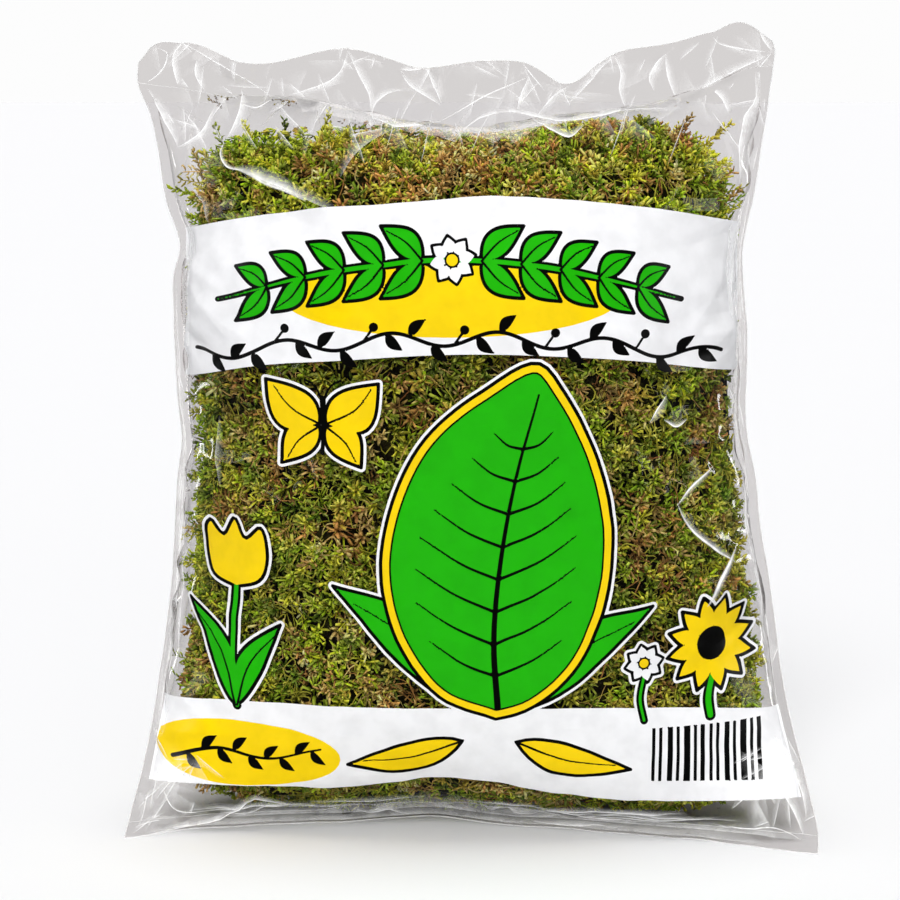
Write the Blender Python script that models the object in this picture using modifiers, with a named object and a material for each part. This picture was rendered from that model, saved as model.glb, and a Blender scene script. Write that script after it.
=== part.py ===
"""A clear film pillow bag packed with flat moss, standing on its bottom.

Lengths are in metres, +Z is up and -Y is the front. The origin is the middle of the flat
patch of film that the bag stands on.

The bag is two plies of film. They lie against each other in the side seams, in the bottom
fin and in the loose header above the top weld, and part between them round the moss. Both
plies are worked out from one seam surface, which is where they would lie with nothing
between them, pushed forward or back by a bulge that is full in the middle and nothing at
the seams.

Places on a ply are (across, up). Across runs from -1 at the left seam to 1 at the right.
Up runs from -1 at the lower edge of the fin, through 0 at the bottom weld and 1 at the top
weld, to 2 at the upper edge of the header.
"""

import bmesh
import bpy
import numpy as np

MM = 0.001

FILM_WALL = 0.3 * MM
SEAM_GAP = 0.3 * MM
FIN_HEIGHT = 6.0 * MM
SIDE_SEAM_SHARE = 0.035

# Outline of the bag from the front, as (height, place across) of each side edge
LEFT_EDGE = (
    (0, -169.4), (35, -161), (75, -155), (119, -149.7), (170, -146), (187, -143.8),
    (205, -145.3), (250, -147), (270, -146.6), (283, -143.3), (304, -149.2),
    (349, -157.1), (364, -162.7), (378, -162),
)
RIGHT_EDGE = (
    (0, 166.6), (7, 167.7), (18, 166.4), (36, 162.5), (62, 157.2), (94, 153.7),
    (119, 150.1), (143, 145.7), (169, 142.7), (186, 138.9), (243, 137.4), (262, 135.5),
    (279, 134.4), (310, 139.7), (342, 144.1), (372, 147.9), (380, 148.3), (393, 143),
)

# Heights of the four lines that cross the bag, as (across, height)
FIN_EDGE = ((-1, 0.6), (-0.75, 2.6), (-0.4, 2.6), (-0.08, 4.6), (0.06, 2.2), (0.3, 0.8), (0.6, 0.6), (1, 0.6))
TOP_WELD = (
    (-1, 364), (-0.75, 358.2), (-0.52, 356.5), (-0.16, 345), (0.07, 342), (0.32, 347.7),
    (0.65, 354.6), (0.8, 362), (0.93, 371), (1, 372.4),
)
TOP_EDGE = (
    (-1, 373.5), (-0.97, 380), (-0.87, 383), (-0.62, 373.5), (-0.35, 380.3), (-0.08, 371.6),
    (0.1, 374.5), (0.22, 373.5), (0.35, 364.5), (0.49, 377.5), (0.66, 382.4), (0.82, 388.6),
    (0.955, 391.5), (1, 384),
)

# Depth of the seam surface: straight up at SEAM_DEPTH, and curving forward to the fin lower down
SEAM_DEPTH = 14
SEAM_STRAIGHT_FROM = 110
SEAM_CURVE_POWER = 1.6
FIN_DEPTH = (
    (-1, -52), (-0.75, -45), (-0.53, -37), (-0.2, -33), (0, -33), (0.2, -36), (0.4, -43),
    (0.65, -55), (1, -79),
)

# Middle line of each ply from weld to weld, as (depth, height). The back one dips below the
# floor where the film is pressed flat on it.
FRONT_LINE = (
    (-38, 19), (-51, 42), (-60, 82), (-63.5, 125), (-63.5, 180), (-60, 235), (-50, 285),
    (-31, 322), (-6, 337),
)
BACK_LINE = (
    (-16, 2), (-4, -8), (12, -14), (32, -12), (47, -2), (58, 13), (64, 42), (66, 90), (66, 150),
    (64, 210), (59, 265), (51, 305), (37, 334),
)

# How the bulge fades from the middle of a ply to its side seams
BULGE_FULLNESS = 2.5
BULGE_ROUNDNESS = 0.62

# Waves of the loose header, as (depth, length across the bag, phase in turns)
HEADER_WAVES = ((6.0, 78.0, 0.15), (2.4, 43.0, 0.4))
WAVES_FROM = 0.86

FILM_COLUMNS = 28
FILM_ROWS = (
    -1, 0, 0.02, 0.045, 0.075, 0.11, 0.15, 0.195, 0.245, 0.3, 0.36, 0.43, 0.5, 0.57, 0.64,
    0.71, 0.775, 0.835, 0.885, 0.93, 0.965, 1, 1.3, 1.65, 2,
)

# The moss stays this far inside the film, as shares of the bag's half width and half depth
MOSS_ACROSS = 0.945
MOSS_UP = (0.055, 0.975)
MOSS_DEPTH = 0.975
# How square its corners are, at the bottom and at the top
MOSS_SQUARENESS = (6.0, 3.2)
MOSS_SEGMENTS = 46
MOSS_RINGS = 30
# Lumps of the moss, as (share of the half depth, lumps across, lumps up, phase in turns). Its
# underside is pressed flat and has none: they start at these places up the bag.
MOSS_LUMPS = ((0.030, 4.0, 5.0, 0.1), (0.026, 7.0, -3.0, 0.55), (0.022, -6.0, 8.0, 0.3))
LUMPS_START = (0.12, 0.3)

FILM_COLOUR = (0.80, 0.79, 0.78, 0.35)
MOSS_COLOUR = (0.13, 0.16, 0.035, 1.0)


def smooth_through(knots, at):
    """Value at each place of a smooth curve through the knots (place, value)."""
    place, value = np.array(knots, float).T
    slope = np.gradient(value, place)
    at = np.clip(at, place[0], place[-1])
    i = np.clip(np.searchsorted(place, at) - 1, 0, len(place) - 2)
    width = place[i + 1] - place[i]
    f = (at - place[i]) / width
    return (
        (1 + 2 * f) * (1 - f) ** 2 * value[i]
        + f * (1 - f) ** 2 * width * slope[i]
        + f**2 * (3 - 2 * f) * value[i + 1]
        - f**2 * (1 - f) * width * slope[i + 1]
    )


def point_along(line, share):
    """Depth and height at each share of the length of a middle line, from weld to weld."""
    welds = seam_surface(np.zeros(2), np.array([0.0, 1.0]))[:, 1:]
    points = np.vstack([welds[0], line, welds[1]])
    length = np.concatenate([[0], np.cumsum(np.linalg.norm(np.diff(points, axis=0), axis=1))])
    length /= length[-1]
    depth = smooth_through(np.column_stack([length, points[:, 0]]), share)
    height = smooth_through(np.column_stack([length, points[:, 1]]), share)
    return depth, height


def seam_surface(across, up):
    """Where both plies would lie with nothing between them, in millimetres."""
    fin_edge = smooth_through(FIN_EDGE, across)
    fin_top = fin_edge + FIN_HEIGHT / MM
    weld = smooth_through(TOP_WELD, across)
    top = smooth_through(TOP_EDGE, across)
    in_fin = np.clip(up + 1, 0, 1)
    in_body = np.clip(up, 0, 1)
    in_header = np.clip(up - 1, 0, 1)
    z = fin_edge + (fin_top - fin_edge) * in_fin + (weld - fin_top) * in_body + (top - weld) * in_header
    share = (across + 1) / 2
    x = smooth_through(LEFT_EDGE, z) * (1 - share) + smooth_through(RIGHT_EDGE, z) * share
    forward = (1 - np.clip(z / SEAM_STRAIGHT_FROM, 0, 1)) ** SEAM_CURVE_POWER
    y = SEAM_DEPTH + (smooth_through(FIN_DEPTH, across) - SEAM_DEPTH) * forward
    ramp = np.clip((up - WAVES_FROM) / (2 - WAVES_FROM), 0, 1) ** 1.2
    for depth, length, phase in HEADER_WAVES:
        y = y + ramp * depth * np.sin(2 * np.pi * (x / length + phase))
    return np.stack([x, y, z], axis=-1)


def seam_normal(across, up):
    """Unit normal of the seam surface, pointing forward."""
    step = 1e-3
    along = seam_surface(across + step, up) - seam_surface(across - step, up)
    rise = seam_surface(across, up + step) - seam_surface(across, up - step)
    normal = np.cross(along, rise)
    return normal / np.linalg.norm(normal, axis=-1, keepdims=True)


def bulge_share(across):
    """How much of the middle line's bulge a ply has at each place across."""
    inside = np.clip(np.abs(across) / (1 - SIDE_SEAM_SHARE), 0, 1)
    return (1 - inside**BULGE_FULLNESS) ** BULGE_ROUNDNESS


def ply(across, up, line):
    """The seam surface pushed out to the middle line of a ply, in millimetres."""
    seam = seam_surface(across, up)
    middle = seam_surface(np.zeros_like(across), up)
    depth, height = point_along(line, np.clip(up, 0, 1))
    between_welds = (up > 0) & (up < 1)
    share = bulge_share(across) * between_welds
    seam[..., 1] += share * (depth - middle[..., 1])
    seam[..., 2] += share * (height - middle[..., 2])
    return seam


def film_points(across, up, line, side):
    """Outer surface of a ply in metres. side is 1 for the front ply and -1 for the back."""
    outward = (SEAM_GAP / 2 + FILM_WALL) / MM * side
    points = ply(across, up, line) + outward * seam_normal(across, up)
    points[..., 2] = np.maximum(points[..., 2], 0)
    return points * MM


def film_places():
    """The grid of places on a ply, closer together towards the side seams."""
    inner = np.sin(np.linspace(-1, 1, FILM_COLUMNS - 1) * np.pi * 0.42) / np.sin(np.pi * 0.42)
    columns = np.concatenate([[-1], inner * (1 - SIDE_SEAM_SHARE), [1]])
    return np.meshgrid(columns, np.array(FILM_ROWS, float))


def principled(name, colour, roughness):
    """A material with one Principled BSDF."""
    material = bpy.data.materials.new(name)
    material.use_nodes = True
    shader = material.node_tree.nodes["Principled BSDF"]
    shader.inputs["Base Color"].default_value = colour
    shader.inputs["Alpha"].default_value = colour[3]
    shader.inputs["Roughness"].default_value = roughness
    shader.inputs["Metallic"].default_value = 0.0
    return material


def add_object(name, form, material, collection):
    """A smooth-shaded mesh object from a bmesh, with one material."""
    mesh = bpy.data.meshes.new(name)
    form.to_mesh(mesh)
    form.free()
    mesh.shade_smooth()
    mesh.materials.append(material)
    obj = bpy.data.objects.new(name, mesh)
    collection.objects.link(obj)
    return obj


def add_film_ply(name, line, side, material, collection):
    """One ply of the bag: an open sheet with its wall inside it."""
    across, up = film_places()
    points = film_points(across, up, line, side)
    rows, columns = across.shape
    form = bmesh.new()
    bmesh.ops.create_grid(form, x_segments=columns - 1, y_segments=rows - 1, size=1)
    form.verts.ensure_lookup_table()
    for vertex, point in zip(form.verts, points.reshape(-1, 3)):
        vertex.co = point
    if side < 0:
        bmesh.ops.reverse_faces(form, faces=form.faces)
    obj = add_object(name, form, material, collection)
    wall = obj.modifiers.new("film wall", "SOLIDIFY")
    wall.thickness = FILM_WALL
    wall.offset = -1
    wall.use_even_offset = True
    return obj


def moss_points(direction):
    """Moves each point of a unit sphere to the skin of the moss, in metres.

    The sphere is squared off first. Its three axes then stand for the place across the bag,
    the place up it, and the share of the way from the front ply to the back one.
    """
    bottom, top = MOSS_SQUARENESS
    power = (bottom + (top - bottom) * (direction[:, 2:] + 1) / 2)
    squared = (np.abs(direction) ** power).sum(axis=1, keepdims=True) ** (1 / power)
    across, depth, up = (direction / squared).T
    lump = np.zeros_like(across)
    for share, lumps_across, lumps_up, phase in MOSS_LUMPS:
        turns = lumps_across * across + lumps_up * up + np.sign(depth) * phase
        lump += share * (1 - np.sin(np.pi * turns))
    low, high = MOSS_UP
    across = MOSS_ACROSS * across
    up = (low + high) / 2 + (high - low) / 2 * up
    lumpy = np.clip((up - LUMPS_START[0]) / (LUMPS_START[1] - LUMPS_START[0]), 0, 1)
    inward = 1 - lump * lumpy * np.abs(depth) ** 0.5
    front = ply(across, up, FRONT_LINE)
    back = ply(across, up, BACK_LINE)
    back[..., 2] = np.maximum(back[..., 2], 0)
    middle = (front + back) / 2
    half = (back - front) / 2
    return (middle + (depth * inward * MOSS_DEPTH)[:, None] * half) * MM


def add_moss(name, material, collection):
    """The moss, one lumpy clump that fills the bag."""
    form = bmesh.new()
    bmesh.ops.create_uvsphere(form, u_segments=MOSS_SEGMENTS, v_segments=MOSS_RINGS, radius=1)
    points = moss_points(np.array([vertex.co for vertex in form.verts]))
    for vertex, point in zip(form.verts, points):
        vertex.co = point
    return add_object(name, form, material, collection)


def main():
    for obj in list(bpy.data.objects):
        bpy.data.objects.remove(obj)
    collection = bpy.data.collections.new("moss_bag")
    bpy.context.scene.collection.children.link(collection)
    film = principled("clear_film", FILM_COLOUR, 0.12)
    moss = principled("moss", MOSS_COLOUR, 0.85)
    add_moss("moss_clump", moss, collection)
    add_film_ply("bag_film_front", FRONT_LINE, 1, film, collection)
    add_film_ply("bag_film_back", BACK_LINE, -1, film, collection)


main()
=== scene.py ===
"""The looks of a clear film bag packed with flat moss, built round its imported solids.

The forms are worked out in millimetres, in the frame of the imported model: +Z is up and -Y is
the front. Places on a ply of film are (across, up). Across runs from -1 at the left seam to 1
at the right. Up runs from -1 at the lower edge of the fin, through 0 at the bottom weld and 1
at the top weld, to 2 at the upper edge of the header.
"""

import logging
from collections.abc import Callable, Sequence
from dataclasses import dataclass, field
from enum import Enum

import bpy
import numpy as np
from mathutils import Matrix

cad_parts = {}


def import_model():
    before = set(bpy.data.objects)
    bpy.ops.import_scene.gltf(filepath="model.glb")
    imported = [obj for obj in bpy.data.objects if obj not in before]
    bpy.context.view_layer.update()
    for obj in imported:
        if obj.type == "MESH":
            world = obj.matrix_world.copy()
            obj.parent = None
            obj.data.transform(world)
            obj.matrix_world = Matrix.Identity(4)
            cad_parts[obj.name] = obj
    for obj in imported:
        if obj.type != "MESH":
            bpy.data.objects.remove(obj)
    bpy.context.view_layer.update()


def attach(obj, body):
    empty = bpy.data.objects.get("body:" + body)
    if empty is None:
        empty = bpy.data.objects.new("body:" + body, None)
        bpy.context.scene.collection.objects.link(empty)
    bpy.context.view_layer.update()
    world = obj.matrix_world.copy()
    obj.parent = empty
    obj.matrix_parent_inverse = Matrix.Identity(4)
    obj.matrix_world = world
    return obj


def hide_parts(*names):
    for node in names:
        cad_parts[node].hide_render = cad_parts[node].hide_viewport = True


LOG = logging.getLogger("moss_bag")

MM = 0.001
BODY = "root"
# Distances past this, in millimetres, are not worked out: nothing is cut that far from a line
FAR = 6.0
# Least height of the film above the floor, in millimetres
FLOOR_GAP = 0.05
# Points from the foot to the tip of a printed leaf's outline, on each side
LEAF_POINTS = 15

Array = np.ndarray
Chance = np.random.Generator
Material = bpy.types.Material
Piece = bpy.types.Object
Socket = bpy.types.NodeSocket
Place = tuple[float, float]
Span = tuple[float, float]
Line = Sequence[Place]
Colour = tuple[float, float, float]


class Side(Enum):
    """The two plies of the bag. The value is 1 where outward is forward."""

    FRONT = 1
    BACK = -1


class Ink(Enum):
    """What covers a place on the front ply, and its material's number on the print."""

    CLEAR = -1
    WHITE = 0
    GREEN = 1
    YELLOW = 2
    BLACK = 3


def linear(red: float, green: float, blue: float) -> Colour:
    """A colour of 0 to 255 steps as the linear light that a shader takes.

    Args:
        red: Red step.
        green: Green step.
        blue: Blue step.

    Returns:
        Each step over 255, to the power 2.2.
    """
    return tuple(float((step / 255) ** 2.2) for step in (red, green, blue))


def smooth_through(knots: Line, at: Array) -> Array:
    """A smooth curve through knots: a cubic between each two, with the mean slope at each.

    Args:
        knots: Pairs of place and value, in order of place.
        at: Places to read, held inside the first and last knot.

    Returns:
        The value at each place.
    """
    place, value = np.array(knots, float).T
    slope = np.gradient(value, place)
    at = np.clip(at, place[0], place[-1])
    i = np.clip(np.searchsorted(place, at) - 1, 0, len(place) - 2)
    width = place[i + 1] - place[i]
    f = (at - place[i]) / width
    return (
        (1 + 2 * f) * (1 - f) ** 2 * value[i]
        + f * (1 - f) ** 2 * width * slope[i]
        + f**2 * (3 - 2 * f) * value[i + 1]
        - f**2 * (1 - f) * width * slope[i + 1]
    )


def ease(share: Array) -> Array:
    """A share held between 0 and 1 that starts and ends level: 3 s squared less 2 s cubed."""
    share = np.clip(share, 0, 1)
    return share * share * (3 - 2 * share)


def unit(vectors: Array) -> Array:
    """Each vector divided by its length."""
    return vectors / np.maximum(np.linalg.norm(vectors, axis=-1, keepdims=True), 1e-9)


def ripples(at: Array, length: float, count: int, seed: int) -> Array:
    """Smooth random relief: the sum of sine waves that run in random directions.

    Args:
        at: Points, one to a row.
        length: Mean wavelength, in the points' unit.
        count: Number of waves.
        seed: Seed of their directions, lengths and phases.

    Returns:
        A height for each point, with a spread of about 1.
    """
    chance = np.random.default_rng(seed)
    heading = unit(chance.normal(size=(count, at.shape[-1])))
    number = 2 * np.pi / (length * chance.uniform(0.7, 1.4, count))
    phase = chance.uniform(0, 2 * np.pi, count)
    return np.sin(at @ (heading * number[:, None]).T + phase).sum(axis=-1) * np.sqrt(2 / count)


def between(grid: Array, u: Array, v: Array) -> Array:
    """Values of a grid at places counted in its cells, by straight lines between its points.

    Args:
        grid: Values on two axes.
        u: Places along the first axis.
        v: Places along the second.

    Returns:
        A value for each place.
    """
    i, j = u.astype(int), v.astype(int)
    f, g = u - i, v - j
    near = grid[i, j] * (1 - f) + grid[i + 1, j] * f
    return near * (1 - g) + (grid[i, j + 1] * (1 - f) + grid[i + 1, j + 1] * f) * g


def cells(number: Array) -> tuple[Array, ...]:
    """The four corners of each cell of a grid of numbers, in turn round the cell."""
    return number[:-1, :-1], number[:-1, 1:], number[1:, 1:], number[1:, :-1]


def along(at: Array, start: Array, end: Array) -> tuple[Array, Array]:
    """The nearest place on a straight line to each point.

    Args:
        at: Points, on the last axis.
        start: Where the line starts.
        end: Where it ends.

    Returns:
        The share of the line at which each place lies, and the square of its distance.
    """
    way = end - start
    share = np.clip((at - start) @ way / max((way**2).sum(), 1e-9), 0, 1)
    return share, ((at - start - share[..., None] * way) ** 2).sum(axis=-1)


@dataclass(frozen=True)
class BagForm:
    """The bag's form, with the sizes that its solids have, in millimetres."""

    fin_height: float = 6.0
    side_seam_share: float = 0.035
    left_edge: Line = (
        (0, -169.4), (35, -161), (75, -155), (119, -149.7), (170, -146), (187, -143.8),
        (205, -145.3), (250, -147), (270, -146.6), (283, -143.3), (304, -149.2),
        (349, -157.1), (364, -162.7), (378, -162),
    )
    right_edge: Line = (
        (0, 166.6), (7, 167.7), (18, 166.4), (36, 162.5), (62, 157.2), (94, 153.7),
        (119, 150.1), (143, 145.7), (169, 142.7), (186, 138.9), (243, 137.4), (262, 135.5),
        (279, 134.4), (310, 139.7), (342, 144.1), (372, 147.9), (380, 148.3), (393, 143),
    )
    fin_edge: Line = (
        (-1, 0.6), (-0.75, 2.6), (-0.4, 2.6), (-0.08, 4.6), (0.06, 2.2), (0.3, 0.8),
        (0.6, 0.6), (1, 0.6),
    )
    top_weld: Line = (
        (-1, 364), (-0.75, 358.2), (-0.52, 356.5), (-0.16, 345), (0.07, 342), (0.32, 347.7),
        (0.65, 354.6), (0.8, 362), (0.93, 371), (1, 372.4),
    )
    top_edge: Line = (
        (-1, 373.5), (-0.97, 380), (-0.87, 383), (-0.62, 373.5), (-0.35, 380.3),
        (-0.08, 371.6), (0.1, 374.5), (0.22, 373.5), (0.35, 364.5), (0.49, 377.5),
        (0.66, 382.4), (0.82, 388.6), (0.955, 391.5), (1, 384),
    )
    seam_depth: float = 14
    seam_straight_from: float = 110
    seam_curve_power: float = 1.6
    fin_depth: Line = (
        (-1, -52), (-0.75, -45), (-0.53, -37), (-0.2, -33), (0, -33), (0.2, -36), (0.4, -43),
        (0.65, -55), (1, -79),
    )
    front_line: Line = (
        (-38, 19), (-51, 42), (-60, 82), (-63.5, 125), (-63.5, 180), (-60, 235), (-50, 285),
        (-31, 322), (-6, 337),
    )
    back_line: Line = (
        (-16, 2), (-4, -8), (12, -14), (32, -12), (47, -2), (58, 13), (64, 42), (66, 90),
        (66, 150), (64, 210), (59, 265), (51, 305), (37, 334),
    )
    bulge_fullness: float = 2.5
    bulge_roundness: float = 0.62
    header_waves: Sequence[tuple[float, float, float]] = ((6.0, 78.0, 0.15), (2.4, 43.0, 0.4))
    waves_from: float = 0.86
    half_width: float = 155.0
    back_foot: float = 0.24

    def seam(self, across: Array, up: Array) -> Array:
        """Where both plies would lie with nothing between them.

        The height runs in turn from the fin's edge to the bottom weld, the top weld and the
        header's edge. The place across is shared out between the two side edges at that
        height. The depth curves forward towards the fin, and the header has waves.

        Args:
            across: Places across.
            up: Places up.

        Returns:
            Points, with one more axis than the places.
        """
        fin_edge = smooth_through(self.fin_edge, across)
        fin_top = fin_edge + self.fin_height
        weld = smooth_through(self.top_weld, across)
        top = smooth_through(self.top_edge, across)
        z = fin_edge + self.fin_height * np.clip(up + 1, 0, 1)
        z = z + (weld - fin_top) * np.clip(up, 0, 1) + (top - weld) * np.clip(up - 1, 0, 1)
        share = (across + 1) / 2
        x = smooth_through(self.left_edge, z) * (1 - share)
        x = x + smooth_through(self.right_edge, z) * share
        forward = (1 - np.clip(z / self.seam_straight_from, 0, 1)) ** self.seam_curve_power
        y = self.seam_depth + (smooth_through(self.fin_depth, across) - self.seam_depth) * forward
        ramp = np.clip((up - self.waves_from) / (2 - self.waves_from), 0, 1) ** 1.2
        for depth, length, phase in self.header_waves:
            y = y + ramp * depth * np.sin(2 * np.pi * (x / length + phase))
        return np.stack([x, y, z], axis=-1)

    def middle_line(self, side: Side, share: Array) -> tuple[Array, Array]:
        """Depth and height of a ply's middle line at each share of its length, weld to weld.

        Args:
            side: Which ply.
            share: Shares of the length.

        Returns:
            Depths and heights.
        """
        welds = self.seam(np.zeros(2), np.array([0.0, 1.0]))[:, 1:]
        line = self.front_line if side is Side.FRONT else self.back_line
        points = np.vstack([welds[0], line, welds[1]])
        steps = np.linalg.norm(np.diff(points, axis=0), axis=1)
        length = np.concatenate([[0], np.cumsum(steps)]) / steps.sum()
        return tuple(smooth_through(np.column_stack([length, v]), share) for v in points.T)

    def bulge(self, across: Array) -> Array:
        """How much of the middle line's bulge a ply has at each place across."""
        inside = np.clip(np.abs(across) / (1 - self.side_seam_share), 0, 1)
        return (1 - inside**self.bulge_fullness) ** self.bulge_roundness

    def ply(self, across: Array, up: Array, side: Side) -> Array:
        """The seam surface pushed out to the middle line of a ply.

        Args:
            across: Places across.
            up: Places up.
            side: Which ply.

        Returns:
            Points, with one more axis than the places. The back ply is flat on the floor.
        """
        points = self.seam(across, up)
        middle = self.seam(np.zeros_like(across), up)
        depth, height = self.middle_line(side, np.clip(up, 0, 1))
        share = self.bulge(across) * ((up > 0) & (up < 1))
        points[..., 1] += share * (depth - middle[..., 1])
        points[..., 2] += share * (height - middle[..., 2])
        points[..., 2] = np.maximum(points[..., 2], FLOOR_GAP)
        return points

    def places(self, at: Array, side: Side) -> Array:
        """The places of a ply whose points have the (x, z) given, by ten of Newton's steps.

        A step solves for the move that the slopes of x and z along across and up ask for. A
        place stays on its own side of the welds. The back ply is only read above the floor.

        Args:
            at: Places (x, z), one to a row.
            side: Which ply.

        Returns:
            Places (across, up), one to a row.
        """
        x, z = at.T
        across = np.clip(x / self.half_width, -1, 1)
        weld, top = smooth_through(self.top_weld, across), smooth_through(self.top_edge, across)
        foot = smooth_through(self.fin_edge, across) + self.fin_height
        above = 1 + (z - weld) / (top - weld)
        lowest = 0.0 if side is Side.FRONT else self.back_foot
        body = lowest + (1 - lowest) * (z - foot) / (weld - foot)
        up = np.where(z > weld, above, np.where(z < foot, (z - foot) / self.fin_height, body))
        low = np.where(z > weld, 1, np.where(z < foot, -1, lowest))
        high = np.where(z > weld, 2, np.where(z < foot, 0, 1))
        found = np.column_stack([across, np.clip(up, low, high)])
        step = 1e-4
        for _ in range(10):
            here = self.flat(*found.T, side)
            slopes = np.stack([
                (here - self.flat(*(found - move).T, side)) / step for move in step * np.eye(2)
            ], axis=-1) + 1e-6 * np.eye(2)
            move = np.linalg.solve(slopes, (at - here)[..., None])[..., 0]
            found = found + np.clip(move, -0.1, 0.1)
            found[:, 0] = np.clip(found[:, 0], -0.999, 0.999)
            found[:, 1] = np.clip(found[:, 1], low + 1e-3, high - 1e-3)
        return found

    def ply_normal(self, across: Array, up: Array, side: Side) -> Array:
        """Unit normals of a ply, outward: the cross product of steps across it and up it.

        Args:
            across: Places across.
            up: Places up.
            side: Which ply.

        Returns:
            The normals.
        """
        step = 1.5e-3
        level = self.ply(across + step, up, side) - self.ply(across - step, up, side)
        rise = self.ply(across, up + step, side) - self.ply(across, up - step, side)
        return unit(np.cross(level, rise)) * side.value

    def flat(self, across: Array, up: Array, side: Side) -> Array:
        """Places (x, z) of a ply."""
        return self.ply(across, up, side)[:, [0, 2]]


@dataclass(frozen=True)
class Crease:
    """A fold of the film along a line of (x, z) points, in millimetres.

    height is how far its ridge stands out, or below 0 how deep its valley is, and width how
    far its two flat flanks reach. milky is the half width of the white line along it, and fan
    the width of the paler flank beside that line. The line is partly film that the fold has
    turned white and partly a painted highlight; the paler flank is a painted sheen. white
    and glow are how much of what lies behind them the line and the flank hide.
    """

    line: Line
    height: float
    width: float
    milky: float = 0.0
    fan: float = 0.0
    white: float = 0.95
    glow: float = 0.6

    def ribbon(self) -> Array:
        """The crease's white line and painted sheen beside it, as rows of points along it.

        A row stands off the line by a share of the two widths, which shrink to the ends as a
        half sine to the power 0.7. What a row hides shrinks as that sine's square root.

        Returns:
            Places and how much is hidden there, (x, z, cover), shaped (rows, points, 3).
        """
        line = curved(self.line, 16)
        way = np.gradient(line, axis=0)
        left = unit(np.column_stack([-way[:, 1], way[:, 0]]))
        taper = np.sin(np.pi * np.linspace(0.02, 0.98, len(line)))[:, None]
        thin, fan = max(1.4 * self.milky, 0.12), max(self.fan, 0.5)
        rows = (
            (-thin, 0), (-0.4 * thin, self.white), (0.4 * thin, self.white), (thin, self.glow),
            (thin + 0.3 * fan, 0.55 * self.glow), (thin + 0.65 * fan, 0.2 * self.glow),
            (thin + fan, 0),
        )
        return np.stack([
            np.hstack([line + left * away * taper**0.7, cover * taper**0.5]) for away, cover in rows
        ])


# Folds of the header and of the lower corners, where both plies fold as one: the line of each
# with its height, width, milky and fan. Their white lines are partly painted highlights, and
# their paler flanks painted sheen
SHARED_CREASES = tuple(Crease(*row) for row in (
    (((-142, 383), (-146, 376), (-145, 368), (-142, 360)), 1.5, 6, 0.2, 3.6),
    (((-134, 375), (-134, 367), (-130, 360)), 1.3, 5, 0.22, 3.8),
    (((-142, 383), (-129, 377), (-114, 370), (-104, 362), (-97, 357)), 1.4, 6, 0.16),
    (((-154, 381), (-149, 378), (-150, 372), (-154, 367), (-161, 363)), 1.0, 4, 0.14),
    (((-158, 361), (-150, 348), (-143, 333)), 2.8, 8, 0.22, 3.8),
    (((-125, 352), (-133, 339), (-143, 333)), 2.4, 8, 0.2, 3.6),
    (((-112, 361), (-112, 352), (-114, 345), (-118, 337)), 2.8, 9, 0.26, 4.5),
    (((-97, 356), (-104, 352), (-112, 353)), 1.2, 6, 0.12),
    (((-60, 379), (-64, 369), (-70, 364), (-78, 361), (-89, 358)), 1.6, 7, 0.18, 3.2),
    (((-60, 379), (-54, 367), (-49, 357), (-49, 347)), 2.0, 7, 0.22, 4.1),
    (((-49, 347), (-46, 354), (-40, 359), (-33, 361)), 1.3, 5, 0.18, 3.2),
    (((-34, 371), (-30, 364), (-22, 358), (-15, 353)), 1.6, 6, 0.2, 3.3),
    (((-23, 373), (-19, 363), (-15, 354)), 1.5, 5, 0.2, 3.3),
    (((-34, 371), (-29, 371), (-23, 372)), 1.0, 4, 0.18, 3.2),
    (((-104, 375), (-87, 376), (-76, 379), (-60, 380), (-44, 378), (-30, 373)), 1.0, 4, 0.12),
    (((25, 374), (30, 368), (37, 360)), 1.3, 6, 0.14),
    (((29, 367), (24, 356), (23, 350)), 1.6, 6, 0.18, 3.2),
    (((29, 367), (13, 360), (-4, 351), (-15, 345)), 1.8, 8, 0.16),
    (((48, 364), (43, 360), (35, 351), (32, 347)), 1.7, 6, 0.2, 3.6),
    (((48, 355), (55, 363), (64, 372), (70, 377)), 1.8, 8, 0.2, 3.6),
    (((70, 377), (73, 368), (72, 362), (76, 351)), 1.9, 7, 0.22, 3.8),
    (((96, 378), (91, 372), (88, 365), (90, 360)), 1.7, 6, 0.24, 4.2),
    (((96, 378), (97, 367), (101, 355)), 1.6, 6, 0.18, 3.2),
    (((101, 355), (112, 360), (125, 368), (148, 379)), 1.9, 8, 0.2, 3.3),
    (((117, 388), (120, 384), (131, 381), (147, 379)), 1.2, 5, 0.16),
    (((140, 391), (142, 386), (147, 379)), 1.2, 5, 0.18, 3.2),
    (((116, 362), (122, 357), (126, 350)), 1.5, 6, 0.22, 3.8),
    (((139, 368), (139, 357), (133, 347), (131, 336), (131, 316)), 1.9, 7, 0.26, 4.8),
    (((147, 379), (141, 372), (139, 368)), 1.2, 4, 0.16),
    (((-159, 1), (-140, 3), (-120, 7), (-114, 11), (-108, 16), (-99, 14),
      (-86, 11)), 1.3, 5, 0.18, 3.2),
    (((-152, 22), (-146, 12), (-132, 9)), 1.2, 6, 0.14),
    (((150, 46), (156, 35), (162, 22), (163, 12)), 1.6, 6, 0.2, 3.3),
    (((150, 26), (157, 15), (161, 6)), 1.4, 6, 0.22, 3.8),
    (((118, 8), (132, 6), (148, 8), (161, 4)), 1.2, 5, 0.16),
))
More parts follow.
